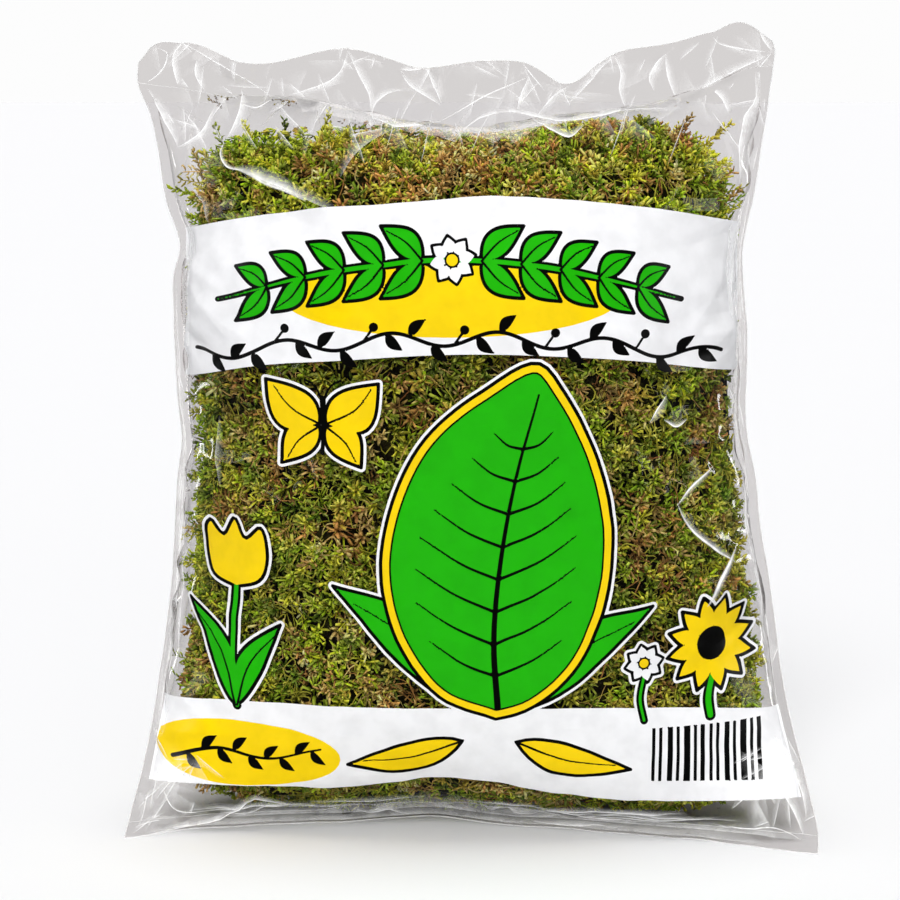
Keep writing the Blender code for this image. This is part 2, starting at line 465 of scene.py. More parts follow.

# Folds of the front ply alone, over the moss: some rows also have their white and glow.
# Their white lines and paler flanks are painted highlights and sheen on the film
FRONT_CREASES = tuple(Crease(*row) for row in (
    (((-119, 336), (-120, 330), (-117, 325), (-108, 323)), 2.2, 8, 0.3, 1.4),
    (((-113, 324), (-106, 322), (-97, 318), (-88, 315), (-78, 310)), 2.8, 9, 1.0, 5.0, 0.8),
    (((-96, 318), (-78, 311), (-60, 303)), 2.0, 9, 0.2, 5.0, 0.3, 0.3),
    (((-62, 322), (-56, 331), (-47, 338), (-38, 342)), 1.6, 9, 0.2, 5.5, 0.3, 0.3),
    (((-15, 338), (-8, 336), (0, 344), (8, 348), (22, 350), (30, 348), (52, 345), (68, 349),
      (97, 352)), 2.0, 8, 0.3, 2.6),
    (((30, 347), (39, 341), (48, 338), (55, 343)), 1.6, 6, 0.3, 3.4),
    (((-49, 347), (-36, 343), (-22, 344), (-14, 345)), 1.4, 6, 0.3, 2.4),
    (((119, 180), (111, 176), (104, 171), (99, 164)), 3.0, 11, 0.5, 2.4, 0.95, 0.4),
    (((99, 165), (104, 153), (116, 141), (130, 130)), 3.0, 11, 0.5, 2.4, 0.95, 0.4),
    (((129, 139), (122, 126), (115, 112)), 3.0, 8, 0.8, 2.8, 0.95, 0.5),
    (((93, 218), (89, 213), (85, 205)), 1.6, 7, 0.3, 4.6, 0.95, 0.4),
    (((92, 206), (98, 202), (104, 205)), 1.5, 6, 0.3, 2.0),
    (((-122, 205), (-123, 188), (-121, 170)), 1.6, 7, 0.12, 3.0, 0.4, 0.25),
    (((-136, 316), (-130, 306), (-127, 297)), 1.5, 7, 0.0, 2.4, 0.3, 0.3),
    (((124, 285), (117, 262), (104, 246)), 1.8, 11),
    (((-139, 268), (-126, 254), (-112, 238)), 1.8, 9),
    (((-132, 262), (-118, 250), (-104, 243)), 1.3, 8),
    (((132, 250), (118, 238), (112, 226)), 1.5, 10),
))


@dataclass
class Relief:
    """Heights of a ply over its form, kept on a grid of (x, z) places, in millimetres."""

    low: tuple[float, float] = (-182.0, -6.0)
    high: tuple[float, float] = (182.0, 402.0)
    step: float = 0.5
    round_over: float = 0.6
    strong: float = 0.9
    heights: Array = field(init=False)
    near: Array = field(init=False)
    marks: list[Array] = field(init=False, default_factory=list)

    def __post_init__(self) -> None:
        """Starts level."""
        self.x = np.arange(self.low[0], self.high[0], self.step)
        self.z = np.arange(self.low[1], self.high[1], self.step)
        self.heights = np.zeros((len(self.x), len(self.z)))
        self.near = np.full(self.heights.shape, FAR)

    def fold(self, crease: Crease) -> None:
        """Adds a crease: straight flanks down from a ridge that is rounded over very little.

        The height at a distance d from the line is 1 less d over the width, with d rounded
        near 0, times the crease's height, times a half sine along it to the power 0.7.

        Args:
            crease: The crease to add.
        """
        line = curved(crease.line, 4 * len(crease.line))
        reach = crease.width + 1
        first = np.searchsorted(self.x, line[:, 0].min() - reach)
        last = np.searchsorted(self.x, line[:, 0].max() + reach)
        lowest = np.searchsorted(self.z, line[:, 1].min() - reach)
        highest = np.searchsorted(self.z, line[:, 1].max() + reach)
        x, z = np.meshgrid(self.x[first:last], self.z[lowest:highest], indexing="ij")
        at = np.stack([x, z], axis=-1)
        gap = np.full(x.shape, 1e6)
        place = np.zeros(x.shape)
        lengths = np.linalg.norm(np.diff(line, axis=0), axis=1)
        passed = 0.0
        for start, end, length in zip(line[:-1], line[1:], lengths):
            share, away = along(at, start, end)
            nearer = away < gap
            gap = np.where(nearer, away, gap)
            place = np.where(nearer, (passed + share * length) / lengths.sum(), place)
            passed += length
        gap = np.sqrt(gap + self.round_over**2) - self.round_over
        rise = np.clip(1 - gap / crease.width, 0, 1) ** 1.25
        rise = rise * np.sin(np.pi * np.clip(place, 0.02, 0.98)) ** 0.7
        self.heights[first:last, lowest:highest] += crease.height * rise
        if abs(crease.height) >= self.strong:
            seen = self.near[first:last, lowest:highest]
            np.minimum(seen, gap, out=seen)
        if crease.milky or crease.fan:
            self.marks.append(crease.ribbon())

    def ripple(self, height: float, length: float, seed: int) -> None:
        """Adds soft random relief, worked out at every sixth place and drawn straight between.

        Args:
            height: Its height.
            length: Its mean wavelength.
            seed: Seed of its waves.
        """
        x, z = np.meshgrid(self.x[::6], self.z[::6], indexing="ij")
        coarse = ripples(np.stack([x, z], axis=-1), length, 14, seed) * height
        rows = np.clip(np.arange(len(self.x)) / 6, 0, len(x) - 1.001)
        columns = np.clip(np.arange(len(self.z)) / 6, 0, x.shape[1] - 1.001)
        self.heights += between(coarse, rows[:, None], columns[None, :])

    def distance(self, at: Array) -> Array:
        """Distance of places (x, z) to the nearest strong crease."""
        return self.sample(at, (self.near,))[0]

    def read(self, at: Array) -> tuple[Array, ...]:
        """The height at places (x, z), and its slopes along x and along z."""
        return self.sample(at, (self.heights, *np.gradient(self.heights, self.step)))

    def sample(self, at: Array, grids: Sequence[Array]) -> tuple[Array, ...]:
        """Values of grids at places, by straight lines between the grid's points.

        Args:
            at: Places (x, z), one to a row.
            grids: Grids of this relief's size.

        Returns:
            A value of each grid at each place.
        """
        u = np.clip((at[:, 0] - self.low[0]) / self.step, 1, len(self.x) - 2.001)
        v = np.clip((at[:, 1] - self.low[1]) / self.step, 1, len(self.z) - 2.001)
        return tuple(between(grid, u, v) for grid in grids)


@dataclass
class Film:
    """One ply of the bag with all its creases.

    Where the plies are welded they fold as one, by the shared relief. Over the moss each has
    its own.
    """

    form: BagForm
    side: Side
    shared: Relief
    own: Relief
    half_gap: float = 0.22
    weld_ease: float = 0.05
    seam_ease: float = 0.35
    border_ease: float = 0.01

    def apart(self, across: Array, up: Array) -> Array:
        """How free a ply is from the other one: 0 on the welds and seams, 1 over the moss."""
        near_weld = ease(np.minimum(up, 1 - up) / self.weld_ease)
        return ease(self.form.bulge(across) / self.seam_ease) * near_weld

    def surface(self, places: Array, lift: float = 0.0) -> tuple[Array, Array]:
        """The creased surface: the ply's form moved along its normal by the relief.

        A surface normal leans back from the form's by the slope of the relief within it.

        Args:
            places: Places (across, up), one to a row.
            lift: A further distance outward, in millimetres.

        Returns:
            Points, and unit normals that point outwards.
        """
        across, up = places.T
        base = self.form.ply(across, up, self.side)
        normal = self.form.ply_normal(across, up, self.side)
        at = base[:, [0, 2]]
        free = self.apart(across, up)
        border = np.minimum.reduce([1 - np.abs(across), (up + 1) / 3, (2 - up) / 3])
        height = self.half_gap * ease(border / self.border_ease) + lift
        slope = np.zeros_like(base)
        for relief, share in ((self.own, free), (self.shared, (1 - free) * self.side.value)):
            rise, along_x, along_z = relief.read(at)
            height = height + share * rise
            slope += np.stack([along_x, np.zeros_like(rise), along_z], axis=1) * share[:, None]
        slope -= (slope * normal).sum(axis=1, keepdims=True) * normal
        points = base + normal * height[:, None]
        points[:, 2] = np.maximum(points[:, 2], FLOOR_GAP)
        return points, unit(normal - slope)


@dataclass
class Sheet:
    """A sheet of triangles over places (across, up) that can be cut along lines."""

    places: Array
    faces: Array

    @classmethod
    def ruled(cls, across: Array, up: Array) -> "Sheet":
        """A grid of places with two triangles in each cell, their diagonals in turns.

        Args:
            across: Places across.
            up: Places up.

        Returns:
            The sheet.
        """
        u, v = np.meshgrid(across, up)
        a, b, c, d = cells(np.arange(u.size).reshape(u.shape))
        turn = ((np.arange(a.shape[0])[:, None] + np.arange(a.shape[1])) % 2 == 0)[..., None]
        first = np.where(turn, np.stack([a, b, c], -1), np.stack([a, b, d], -1))
        second = np.where(turn, np.stack([a, c, d], -1), np.stack([b, c, d], -1))
        faces = np.concatenate([first.reshape(-1, 3), second.reshape(-1, 3)])
        return cls(np.column_stack([u.ravel(), v.ravel()]), faces)

    def edges(self) -> tuple[Array, Array]:
        """The sheet's edges (low, high) and the three that each face has.

        Returns:
            The edges, and the numbers of each face's three.
        """
        ends = self.faces[:, [[0, 1], [1, 2], [2, 0]]]
        ends = np.sort(ends, axis=2).reshape(-1, 2)
        key, index = np.unique(ends[:, 0] * len(self.places) + ends[:, 1], return_inverse=True)
        edges = np.column_stack([key // len(self.places), key % len(self.places)])
        return edges, index.reshape(-1, 3)

    def split(self, edges: Array, of_face: Array, wanted: Array, share: Array) -> "Sheet":
        """Puts a point on each wanted edge and cuts the faces beside it in two, three or four.

        Args:
            edges: The sheet's edges.
            of_face: The three edges of each face.
            wanted: Which edges get a point.
            share: How far along each wanted edge the point lies.

        Returns:
            The finer sheet.
        """
        low, high = edges[wanted].T
        share = share[:, None]
        added = self.places[low] * (1 - share) + self.places[high] * share
        number = np.full(len(edges), -1)
        number[wanted] = len(self.places) + np.arange(len(low))
        middle, corner = number[of_face], self.faces
        cuts = (middle >= 0).sum(axis=1)
        turn = np.zeros(len(corner), int)
        turn[cuts == 1] = np.argmax(middle[cuts == 1] >= 0, axis=1)
        turn[cuts == 2] = (np.argmin(middle[cuts == 2] >= 0, axis=1) + 1) % 3
        order = (turn[:, None] + np.arange(3)) % 3
        a, b, c = np.take_along_axis(corner, order, 1).T
        p, q, r = np.take_along_axis(middle, order, 1).T
        pieces = {
            0: ((a, b, c),),
            1: ((a, p, c), (p, b, c)),
            2: ((p, b, q), (a, p, q), (a, q, c)),
            3: ((a, p, r), (p, b, q), (r, q, c), (p, q, r)),
        }
        faces = [np.stack(ends, 1)[cuts == n] for n, rows in pieces.items() for ends in rows]
        return Sheet(np.vstack([self.places, added]), np.concatenate(faces))

    def refined(self, near: Array, within: float) -> "Sheet":
        """Halves every edge whose ends lie nearer than a distance to a line.

        Args:
            near: Distance of each place to the nearest line.
            within: The distance.

        Returns:
            The finer sheet.
        """
        edges, of_face = self.edges()
        wanted = (near[edges] < within).all(axis=1)
        return self.split(edges, of_face, wanted, np.full(wanted.sum(), 0.5))

    def cut(self, distance: Array) -> "Sheet":
        """Cuts the sheet where a signed distance changes sign.

        Args:
            distance: The distance at each place.

        Returns:
            The cut sheet.
        """
        edges, of_face = self.edges()
        first, last = distance[edges].T
        wanted = (first < 0) != (last < 0)
        share = np.clip(first[wanted] / (first[wanted] - last[wanted]), 0.04, 0.96)
        return self.split(edges, of_face, wanted, share)

    def part(self, chosen: Array) -> "Sheet":
        """A sheet of the chosen faces alone."""
        used, index = np.unique(self.faces[chosen], return_inverse=True)
        return Sheet(self.places[used], index.reshape(-1, 3))


@dataclass(frozen=True)
class Patch:
    """A filled shape inside a closed outline of (x, z) points, grown by a margin."""

    outline: Array
    grow: float = 0.0

    def distance(self, at: Array) -> Array:
        """Distance to the outline, below 0 inside, less the margin.

        A place is inside where a level line to its right crosses the outline an odd number
        of times.

        Args:
            at: Places (x, z), one to a row.

        Returns:
            The signed distance of each place.
        """
        start, end = self.outline, np.roll(self.outline, -1, axis=0)
        gap = np.full(len(at), 1e6)
        odd = np.zeros(len(at), bool)
        for p, q in zip(start, end):
            gap = np.minimum(gap, along(at, p, q)[1])
            if p[1] != q[1]:
                crosses = (at[:, 1] < p[1]) != (at[:, 1] < q[1])
                reach = p[0] + (at[:, 1] - p[1]) * (q[0] - p[0]) / (q[1] - p[1])
                odd ^= crosses & (at[:, 0] < reach)
        return np.where(odd, -1, 1) * np.sqrt(gap) - self.grow

    def grown(self, margin: float) -> "Patch":
        """The same shape with a wider or, below 0, a narrower margin."""
        return Patch(self.outline, self.grow + margin)


@dataclass(frozen=True)
class Stroke:
    """A line of (x, z) points drawn with a round pen, with its half width at each point."""

    outline: Array
    half_width: Array

    def distance(self, at: Array) -> Array:
        """Distance to the nearest place on the line, less the half width there.

        Args:
            at: Places (x, z), one to a row.

        Returns:
            The signed distance of each place.
        """
        gap = np.full(len(at), 1e6)
        ends = zip(self.outline[:-1], self.outline[1:], self.half_width[:-1], self.half_width[1:])
        for p, q, thick, thin in ends:
            share, away = along(at, p, q)
            gap = np.minimum(gap, np.sqrt(away) - thick * (1 - share) - thin * share)
        return gap

    def grown(self, margin: float) -> "Stroke":
        """The same line with a wider or, below 0, a narrower pen."""
        return Stroke(self.outline, np.maximum(self.half_width + margin, 0.01))


Shape = Patch | Stroke


def nearest(shapes: Sequence[Shape], at: Array) -> Array:
    """Signed distance to the union of shapes: the least of theirs.

    Args:
        shapes: Patches and strokes.
        at: Places (x, z), one to a row.

    Returns:
        The distance at each place, or FAR where no shape is near.
    """
    found = np.full(len(at), FAR)
    for shape in shapes:
        low, high = shape.outline.min(axis=0) - FAR, shape.outline.max(axis=0) + FAR
        close = ((at > low) & (at < high)).all(axis=1)
        found[close] = np.minimum(found[close], shape.distance(at[close]))
    return found


def oval(centre: Place, radii: Place, turn: float = 0.0) -> Array:
    """Points of an ellipse of two radii round a centre, turned by degrees.

    Args:
        centre: Its middle, (x, z).
        radii: Its half width and half height.
        turn: Its turn, in degrees.

    Returns:
        The points.
    """
    angle = np.linspace(0, 2 * np.pi, 40, endpoint=False)
    ring = np.column_stack([np.cos(angle) * radii[0], np.sin(angle) * radii[1]])
    c, s = np.cos(np.radians(turn)), np.sin(np.radians(turn))
    return ring @ np.array([[c, s], [-s, c]]) + centre


def curved(points: Line, count: int = 24) -> Array:
    """A smooth line through points, at evenly spaced shares of its length.

    Args:
        points: Points to pass through.
        count: Number of points on the line.

    Returns:
        The line's points.
    """
    knots = np.array(points, float)
    steps = np.linalg.norm(np.diff(knots, axis=0), axis=1)
    length = np.concatenate([[0], np.cumsum(steps)]) / steps.sum()
    share = np.linspace(0, 1, count)
    columns = [smooth_through(np.column_stack([length, v]), share) for v in knots.T]
    return np.column_stack(columns)


def leaf(foot: Place, tip: Place, width: float, bend: float = 0.0) -> Array:
    """Outline of a leaf: a rib from foot to tip bent by a half sine, with a belly each side.

    The half width at a share s of the rib is half the width times the sine of half a turn
    times s to the power 0.8.

    Args:
        foot: Where the leaf joins its stem, (x, z).
        tip: Its point, (x, z).
        width: Its full width.
        bend: How far the middle of the rib is pushed to the left of its way.

    Returns:
        Points of the closed outline.
    """
    share = np.linspace(0, 1, LEAF_POINTS)[:, None]
    foot, tip = np.array(foot, float), np.array(tip, float)
    way = tip - foot
    left = np.array([-way[1], way[0]]) / np.linalg.norm(way)
    rib = foot + way * share + left * bend * np.sin(np.pi * share)
    belly = left * width / 2 * np.sin(np.pi * share**0.8)
    return np.vstack([rib + belly, (rib - belly)[-2:0:-1]])


def pen(points: Line, count: int, first: float, last: float) -> Stroke:
    """A smooth stroke through points, with a half width that goes evenly from first to last."""
    return Stroke(curved(points, count), np.linspace(first, last, count))


@dataclass
class Print:
    """The print of the front ply: two white bands, and garden motifs of a plain design.

    Places are (x, z) in millimetres. inks() gives the print in the order it is laid down.
    """

    form: BagForm
    side_margin: float = 4.4
    outline: float = 1.7
    halo: float = 1.3
    rim: float = 3.2
    top_band: tuple[Line, Line] = (
        ((-150, 291), (-142, 293), (-116, 300), (-81, 306), (-34, 310), (14, 313), (61, 310),
         (101, 304), (133, 296), (145, 292)),
        ((-150, 217), (-142, 220), (-106, 231), (-57, 237), (-10, 240), (37, 239), (86, 234),
         (134, 223), (145, 220)),
    )
    bottom_band: tuple[Line, Line] = (
        ((-166, 59), (-153, 61), (-118, 66), (-83, 67), (-44, 67), (14, 67), (63, 67),
         (112, 64), (152, 58), (166, 56)),
        ((-166, 24), (-158, 24), (-133, 24), (-103, 23), (-69, 23), (-35, 26), (-10, 29),
         (24, 25), (54, 20), (83, 18), (112, 19), (166, 21)),
    )

    def band(self, edges: tuple[Line, Line]) -> Patch:
        """A white band from side seam to side seam, between an upper and a lower edge.

        Args:
            edges: Points of the upper edge and of the lower one.

        Returns:
            The band.
        """
        x = np.linspace(-166, 166, 90)
        top = smooth_through(edges[0], x)
        bottom = smooth_through(edges[1], x)
        upper = self.held(np.column_stack([x, top]))
        lower = self.held(np.column_stack([x, bottom]))
        return Patch(np.vstack([upper, lower[::-1]]))

    def held(self, points: Array) -> Array:
        """Points moved in x so that they stay the margin inside the two side edges.

        Args:
            points: Points (x, z), one to a row.

        Returns:
            The moved points.
        """
        low = smooth_through(self.form.left_edge, points[:, 1]) + self.side_margin
        high = smooth_through(self.form.right_edge, points[:, 1]) - self.side_margin
        return np.column_stack([np.clip(points[:, 0], low, high), points[:, 1]])

    def garland(self) -> tuple[Stroke, list[Array]]:
        """The branch of the top band: its stem, and leaves that point away from its middle.

        Returns:
            The stem, and the leaves' outlines.
        """
        knots = ((-121, 262), (-80, 275), (-40, 282), (-8, 284), (24, 282), (62, 275), (101, 263))
        stem = curved(knots, 40)
        leaves = []
        for side in (-1, 1):
            for number in range(5):
                x = -9 + side * (14 + 18.6 * number)
                z = float(smooth_through(stem, x))
                size = 27 - 1.5 * number
                for rise in (0.62, -0.62):
                    tip = (x + side * size * 0.74, z + rise * size - 0.05 * abs(x + 9))
                    leaves.append(leaf((x, z), tip, 12.6 - 0.6 * number, side * rise * 2.6))
        taper = np.interp(np.abs(stem[:, 0] + 9), (60, 108), (1.5, 0.5))
        return Stroke(stem, taper), leaves

    def vine(self) -> list[Shape]:
        """The black vine under the branch: a waving stem, leaves and round buds.

        Returns:
            The stem, leaves and buds.
        """
        x = np.linspace(-135, 121, 120)
        arch = 247.5 - 0.00085 * (x + 6) ** 2
        stem = np.column_stack([x, arch + 3.4 * np.sin(x / 8.1)])
        shapes: list[Shape] = [Stroke(stem, np.full(len(x), 0.9))]
        for number, foot in enumerate(stem[4:118:5]):
            up = 1 if number % 2 else -1
            if number % 4 == 3:
                bud = foot + (5.0, up * 7.0)
                shapes.append(Patch(oval(bud, (2.2, 2.2))))
                shapes.append(Stroke(np.array([foot, bud]), np.array([0.6, 0.6])))
            else:
                shapes.append(Patch(leaf(foot, foot + (8.2, up * 8.0), 5.2, up * 1.1)))
        return shapes

    def great_leaf(self) -> tuple[Patch, list[Shape]]:
        """The large leaf in the middle: its outline, and its ribs as tapering lines.

        Returns:
            The outline and the ribs.
        """
        blade = curved(
            ((12, 62), (-14, 72), (-34, 98), (-43, 132), (-38, 168), (-22, 200), (4, 222),
             (34, 235), (44, 222), (60, 190), (68, 152), (64, 116), (48, 84), (26, 66), (12, 62)),
            90,
        )[:-1]
        ribs: list[Shape] = [
            pen(((13, 68), (11, 100), (14, 140), (22, 184), (32, 221)), 30, 1.6, 0.5)
        ]
        for number, reach in enumerate((34, 40, 41, 40, 35, 29, 22, 15)):
            foot = ribs[0].outline[3 + 3 * number]
            for side in (-1, 1):
                end = foot + np.array([side * reach * 0.93, reach * 0.52])
                ribs.append(pen((foot, (foot + end) / 2 - (0, 2.2), end), 12, 0.8, 0.3))
        return Patch(blade), ribs

    def middle_ribs(self, outlines: Sequence[Array]) -> list[Shape]:
        """A thin tapering rib for each leaf.

        Args:
            outlines: Outlines that leaf() made.

        Returns:
            The ribs.
        """
        ribs = []
        for outline in outlines:
            foot, tip = outline[0], outline[LEAF_POINTS - 1]
            middle = (outline[LEAF_POINTS // 2] + outline[-(LEAF_POINTS // 2)]) / 2
            ribs.append(pen((foot, middle, tip * 0.86 + foot * 0.14), 10, 0.6, 0.28))
        return ribs

    def bloom(
        self, centre: Place, size: float, petals: int, heart: float
    ) -> tuple[list[Shape], Patch]:
        """A round bloom.

        Args:
            centre: Its middle, (x, z).
            size: Reach of its petals.
            petals: Number of petals.
            heart: Radius of its heart.

        Returns:
            Its petals, and its heart.
        """
        x, z = centre
        rays = [(np.cos(a), np.sin(a)) for a in np.arange(petals) * 2 * np.pi / petals + 0.2]
        return [
            Patch(leaf(
                (x + c * size * 0.22, z + s * size * 0.22), (x + c * size, z + s * size),
                size * 4.9 / petals,
            ))
            for c, s in rays
        ], Patch(oval(centre, (heart, heart)))

    def inks(self) -> list[tuple[Ink, list[Shape]]]:
        """The print in the order it is laid down: each ink with the shapes it covers.

        Returns:
            Pairs of ink and shapes. A later pair covers the ones before it.
        """
        line = self.outline / 2
        stem, garland = self.garland()
        blade, ribs = self.great_leaf()
        side_leaves = [leaf((6, 66), (-66, 128), 27, -5), leaf((18, 66), (88, 116), 25, 5)]
        fallen = [leaf((-4, 50), (-60, 36), 16, 3), leaf((22, 50), (78, 35), 16, -3)]
        tulip = curved(
            ((-114, 122), (-126, 127), (-130, 139), (-127, 153), (-121, 147), (-115, 156),
             (-109, 147), (-102, 153), (-98, 139), (-102, 127), (-114, 122)), 50,
        )[:-1]
        tulip_leaves = [leaf((-115, 64), (-137, 112), 13, -4), leaf((-114, 64), (-92, 106), 13, 4)]
        wings = [
            leaf((-72, 206), (-98, 226), 22, 3), leaf((-69, 206), (-44, 226), 22, -3),
            leaf((-72, 205), (-91, 186), 16, -2), leaf((-69, 205), (-52, 186), 16, 2),
        ]
        white, small_heart = self.bloom((-9, 284), 11.5, 8, 3.6)
        daisy, daisy_heart = self.bloom((84, 88), 9.5, 8, 3.0)
        sunny, sunny_heart = self.bloom((118, 94), 23.0, 12, 8.0)
        green = [Patch(outline) for outline in garland + side_leaves + tulip_leaves]
        yellow = [Patch(outline) for outline in [*fallen, tulip, *wings]] + sunny
        stalks: list[Shape] = [
            stem,
            pen(((-114, 123), (-116, 95), (-114, 64)), 16, 1.5, 1.5),
            pen(((118, 78), (116, 68), (117, 60)), 12, 1.8, 1.8),
            pen(((84, 82), (82, 70), (84, 60)), 12, 1.1, 1.1),
        ]
        feelers: list[Shape] = [
            pen(((-70.5, 218), (-70, 206), (-70.5, 192)), 10, 1.5, 0.9),
            pen(((-71, 218), (-75, 225), (-79, 227)), 8, 0.55, 0.55),
            pen(((-70, 218), (-66, 225), (-62, 227)), 8, 0.55, 0.55),
        ]
        white = white + daisy
        drawn = [*green, *yellow, *white, *stalks, blade]
        leaves = [*garland, *side_leaves, *tulip_leaves, *fallen, *wings]
        ovals = [Patch(oval((-10, 266), (82, 18))), Patch(oval((-109.5, 40), (46, 16.5), -2))]

        def all_grown(shapes: Sequence[Shape], margin: float) -> list[Shape]:
            """The shapes, each with a margin."""
            return [shape.grown(margin) for shape in shapes]

        bands = [self.band(self.top_band), self.band(self.bottom_band)]
        return [
            (Ink.WHITE, [*bands, *all_grown(drawn, line + self.halo)]),
            (Ink.YELLOW, ovals),
            (Ink.BLACK, [*all_grown(drawn, line), *self.vine(), *self.twig()]),
            (Ink.GREEN, [*all_grown(green, -line), *all_grown(stalks, -0.45)]),
            (Ink.YELLOW, all_grown(yellow, -line)),
            (Ink.BLACK, [*self.middle_ribs(leaves), blade.grown(line)]),
            (Ink.YELLOW, [blade.grown(-line)]),
            (Ink.BLACK, [blade.grown(-line - self.rim)]),
            (Ink.GREEN, [blade.grown(-line - self.rim - 0.9)]),
            (Ink.WHITE, all_grown(white, -0.5)),
            (Ink.BLACK, [*ribs, *feelers, *self.bars(), small_heart, daisy_heart, sunny_heart]),
            (Ink.YELLOW, [small_heart.grown(-0.9), daisy_heart.grown(-0.8)]),
        ]

    def twig(self) -> list[Shape]:
        """The black twig on the yellow oval at the lower left.

        Returns:
            Its stem and leaves.
        """
        stem = pen(((-147, 36), (-124, 42), (-100, 38), (-73, 44)), 30, 1.0, 0.5)
        shapes: list[Shape] = [stem]
        for number, foot in enumerate(stem.outline[3:29:3]):
            up = 1 if number % 2 else -1
            shapes.append(Patch(leaf(foot, foot + (7.5, up * 7.2), 4.4, up * 1.0)))
        return shapes

    def bars(self) -> list[Shape]:
        """Plain upright bars at the lower right, in a repeating pattern of widths.

        Returns:
            The bars.
        """
        widths = (1.6, 1.6, 2.6, 1.6, 3.2, 1.6, 2.2)
        shapes: list[Shape] = []
        x, number = 88.0, 0
        while x < 145:
            width = widths[number % len(widths)]
            corners = ((x, 29), (x + width, 29), (x + width, 56), (x, 56))
            shapes.append(Patch(np.array(corners, float)))
            x += width + widths[(number + 3) % len(widths)] * 0.55 + 0.9
            number += 1
        return shapes


@dataclass(frozen=True)
class ClearFilm:
    """Thin clear film: it lets light straight through, and its gloss grows at the edges."""

    tint: Colour = (0.840, 0.826, 0.822)
    gloss_facing: float = 0.018
    gloss_edge: float = 0.6
    power: float = 3.0
    roughness: float = 0.08

    def material(self, name: str) -> Material:
        """The film's material: Transparent and Glossy mixed by how far the film turns away.

        Args:
            name: Name of the material.

        Returns:
            The material.
        """
        tree = Nodes(name)
        clear = tree.add("ShaderNodeBsdfTransparent")
        clear.inputs["Color"].default_value = (*self.tint, 1)
        gloss = tree.add("ShaderNodeBsdfAnisotropic", Roughness=self.roughness)
        bump = tree.bump(((70.0, 2.0, 1.0),), 0.0004, 0.07)
        tree.link(bump, gloss.inputs["Normal"])
        facing = tree.add("ShaderNodeLayerWeight", Blend=0.5)
        tree.link(bump, facing.inputs["Normal"])
        curve = tree.math("POWER", facing.outputs["Facing"], self.power)
        mix = tree.add("ShaderNodeMixShader")
        share = tree.math("MULTIPLY_ADD", curve, self.gloss_edge, self.gloss_facing)
        tree.link(share, mix.inputs[0])
        tree.link(clear.outputs[0], mix.inputs[1])
        tree.link(gloss.outputs[0], mix.inputs[2])
        return tree.done(mix.outputs[0])


@dataclass(frozen=True)
class MilkyFilmAndGlints:
    """Folds turned white, and painted glints and sheen: they hide part of what lies behind."""

    colour: Colour = (0.98, 0.98, 0.98)
    roughness: float = 0.3

    def material(self, name: str) -> Material:
        """White that covers by the attribute named shade, broken up by fine noise.

        Args:
            name: Name of the material.

        Returns:
            The material.
        """
        tree = Nodes(name)
        shader = tree.add("ShaderNodeBsdfPrincipled", Roughness=self.roughness)
        shader.inputs["Base Color"].default_value = (*self.colour, 1)
        broken = tree.math("ADD", tree.noise(230.0, 2.0), 0.5)
        tree.link(tree.math("MULTIPLY", tree.shade("Fac"), broken), shader.inputs["Alpha"])
        return tree.done(shader.outputs[0])


@dataclass(frozen=True)
class GlossInk:
    """Ink on the film: one flat colour under the film's own gloss."""

    colour: Colour
    roughness: float = 0.3

    def material(self, name: str) -> Material:
        """The ink's material, with the film's small wrinkles and a very faint mottle.

        Args:
            name: Name of the material.

        Returns:
            The material.
        """
        tree = Nodes(name)
        shader = tree.add("ShaderNodeBsdfPrincipled", Roughness=self.roughness)
        shader.inputs["Specular IOR Level"].default_value = 0.16
        mottle = tree.noise(90.0, 3.0)
        dark = tuple(0.93 * channel for channel in self.colour)
        tree.link(tree.ramp(mottle, ((0.35, dark), (0.6, self.colour))), shader.inputs["Base Color"])
        bump = tree.bump(((70.0, 2.0, 1.0),), 0.0004, 0.2)
        tree.link(bump, shader.inputs["Normal"])
        return tree.done(shader.outputs[0])


@dataclass(frozen=True)
class MossLeaf:
    """Leaves of the moss: the mesh's own colour, mottled, with a soft sheen."""

    roughness: float = 0.55

    def material(self, name: str) -> Material:
        """The leaves' material: the attribute named shade times a fine mottle.

        Args:
            name: Name of the material.

        Returns:
            The material.
        """
        tree = Nodes(name)
        shader = tree.add("ShaderNodeBsdfPrincipled", Roughness=self.roughness)
        shader.inputs["Specular IOR Level"].default_value = 0.25
        mottle = tree.ramp(tree.noise(700.0, 2.0), ((0.3, (0.8,) * 3), (0.7, (1.1,) * 3)))
        mix = tree.add("ShaderNodeMix")
        mix.data_type = "RGBA"
        mix.blend_type = "MULTIPLY"
        mix.inputs[0].default_value = 1.0
        tree.link(tree.shade("Color"), mix.inputs[6])
        tree.link(mottle, mix.inputs[7])
        tree.link(mix.outputs[2], shader.inputs["Base Color"])
        return tree.done(shader.outputs[0])


@dataclass(frozen=True)
class MossBed:
    """Pressed moss under the shoots: brown and olive, matt, matted and dark with painted shade."""

    # Old moss's browns, darkened further to paint the shade in the hollows between shoots
    dark: Colour = linear(24, 17, 9)
    olive: Colour = linear(54, 52, 19)

    def material(self, name: str) -> Material:
        """The bed's material: two browns mixed by noise, with a rough fibrous bump.

        Args:
            name: Name of the material.

        Returns:
            The material.
        """
        tree = Nodes(name)
        shader = tree.add("ShaderNodeBsdfPrincipled", Roughness=0.9)
        patches = tree.noise(160.0, 5.0)
        tree.link(tree.ramp(patches, ((0.4, self.dark), (0.62, self.olive))), shader.inputs["Base Color"])
        bump = tree.bump(((420.0, 4.0, 0.7), (1100.0, 2.0, 0.3)), 0.002, 0.9)
        tree.link(bump, shader.inputs["Normal"])
        return tree.done(shader.outputs[0])


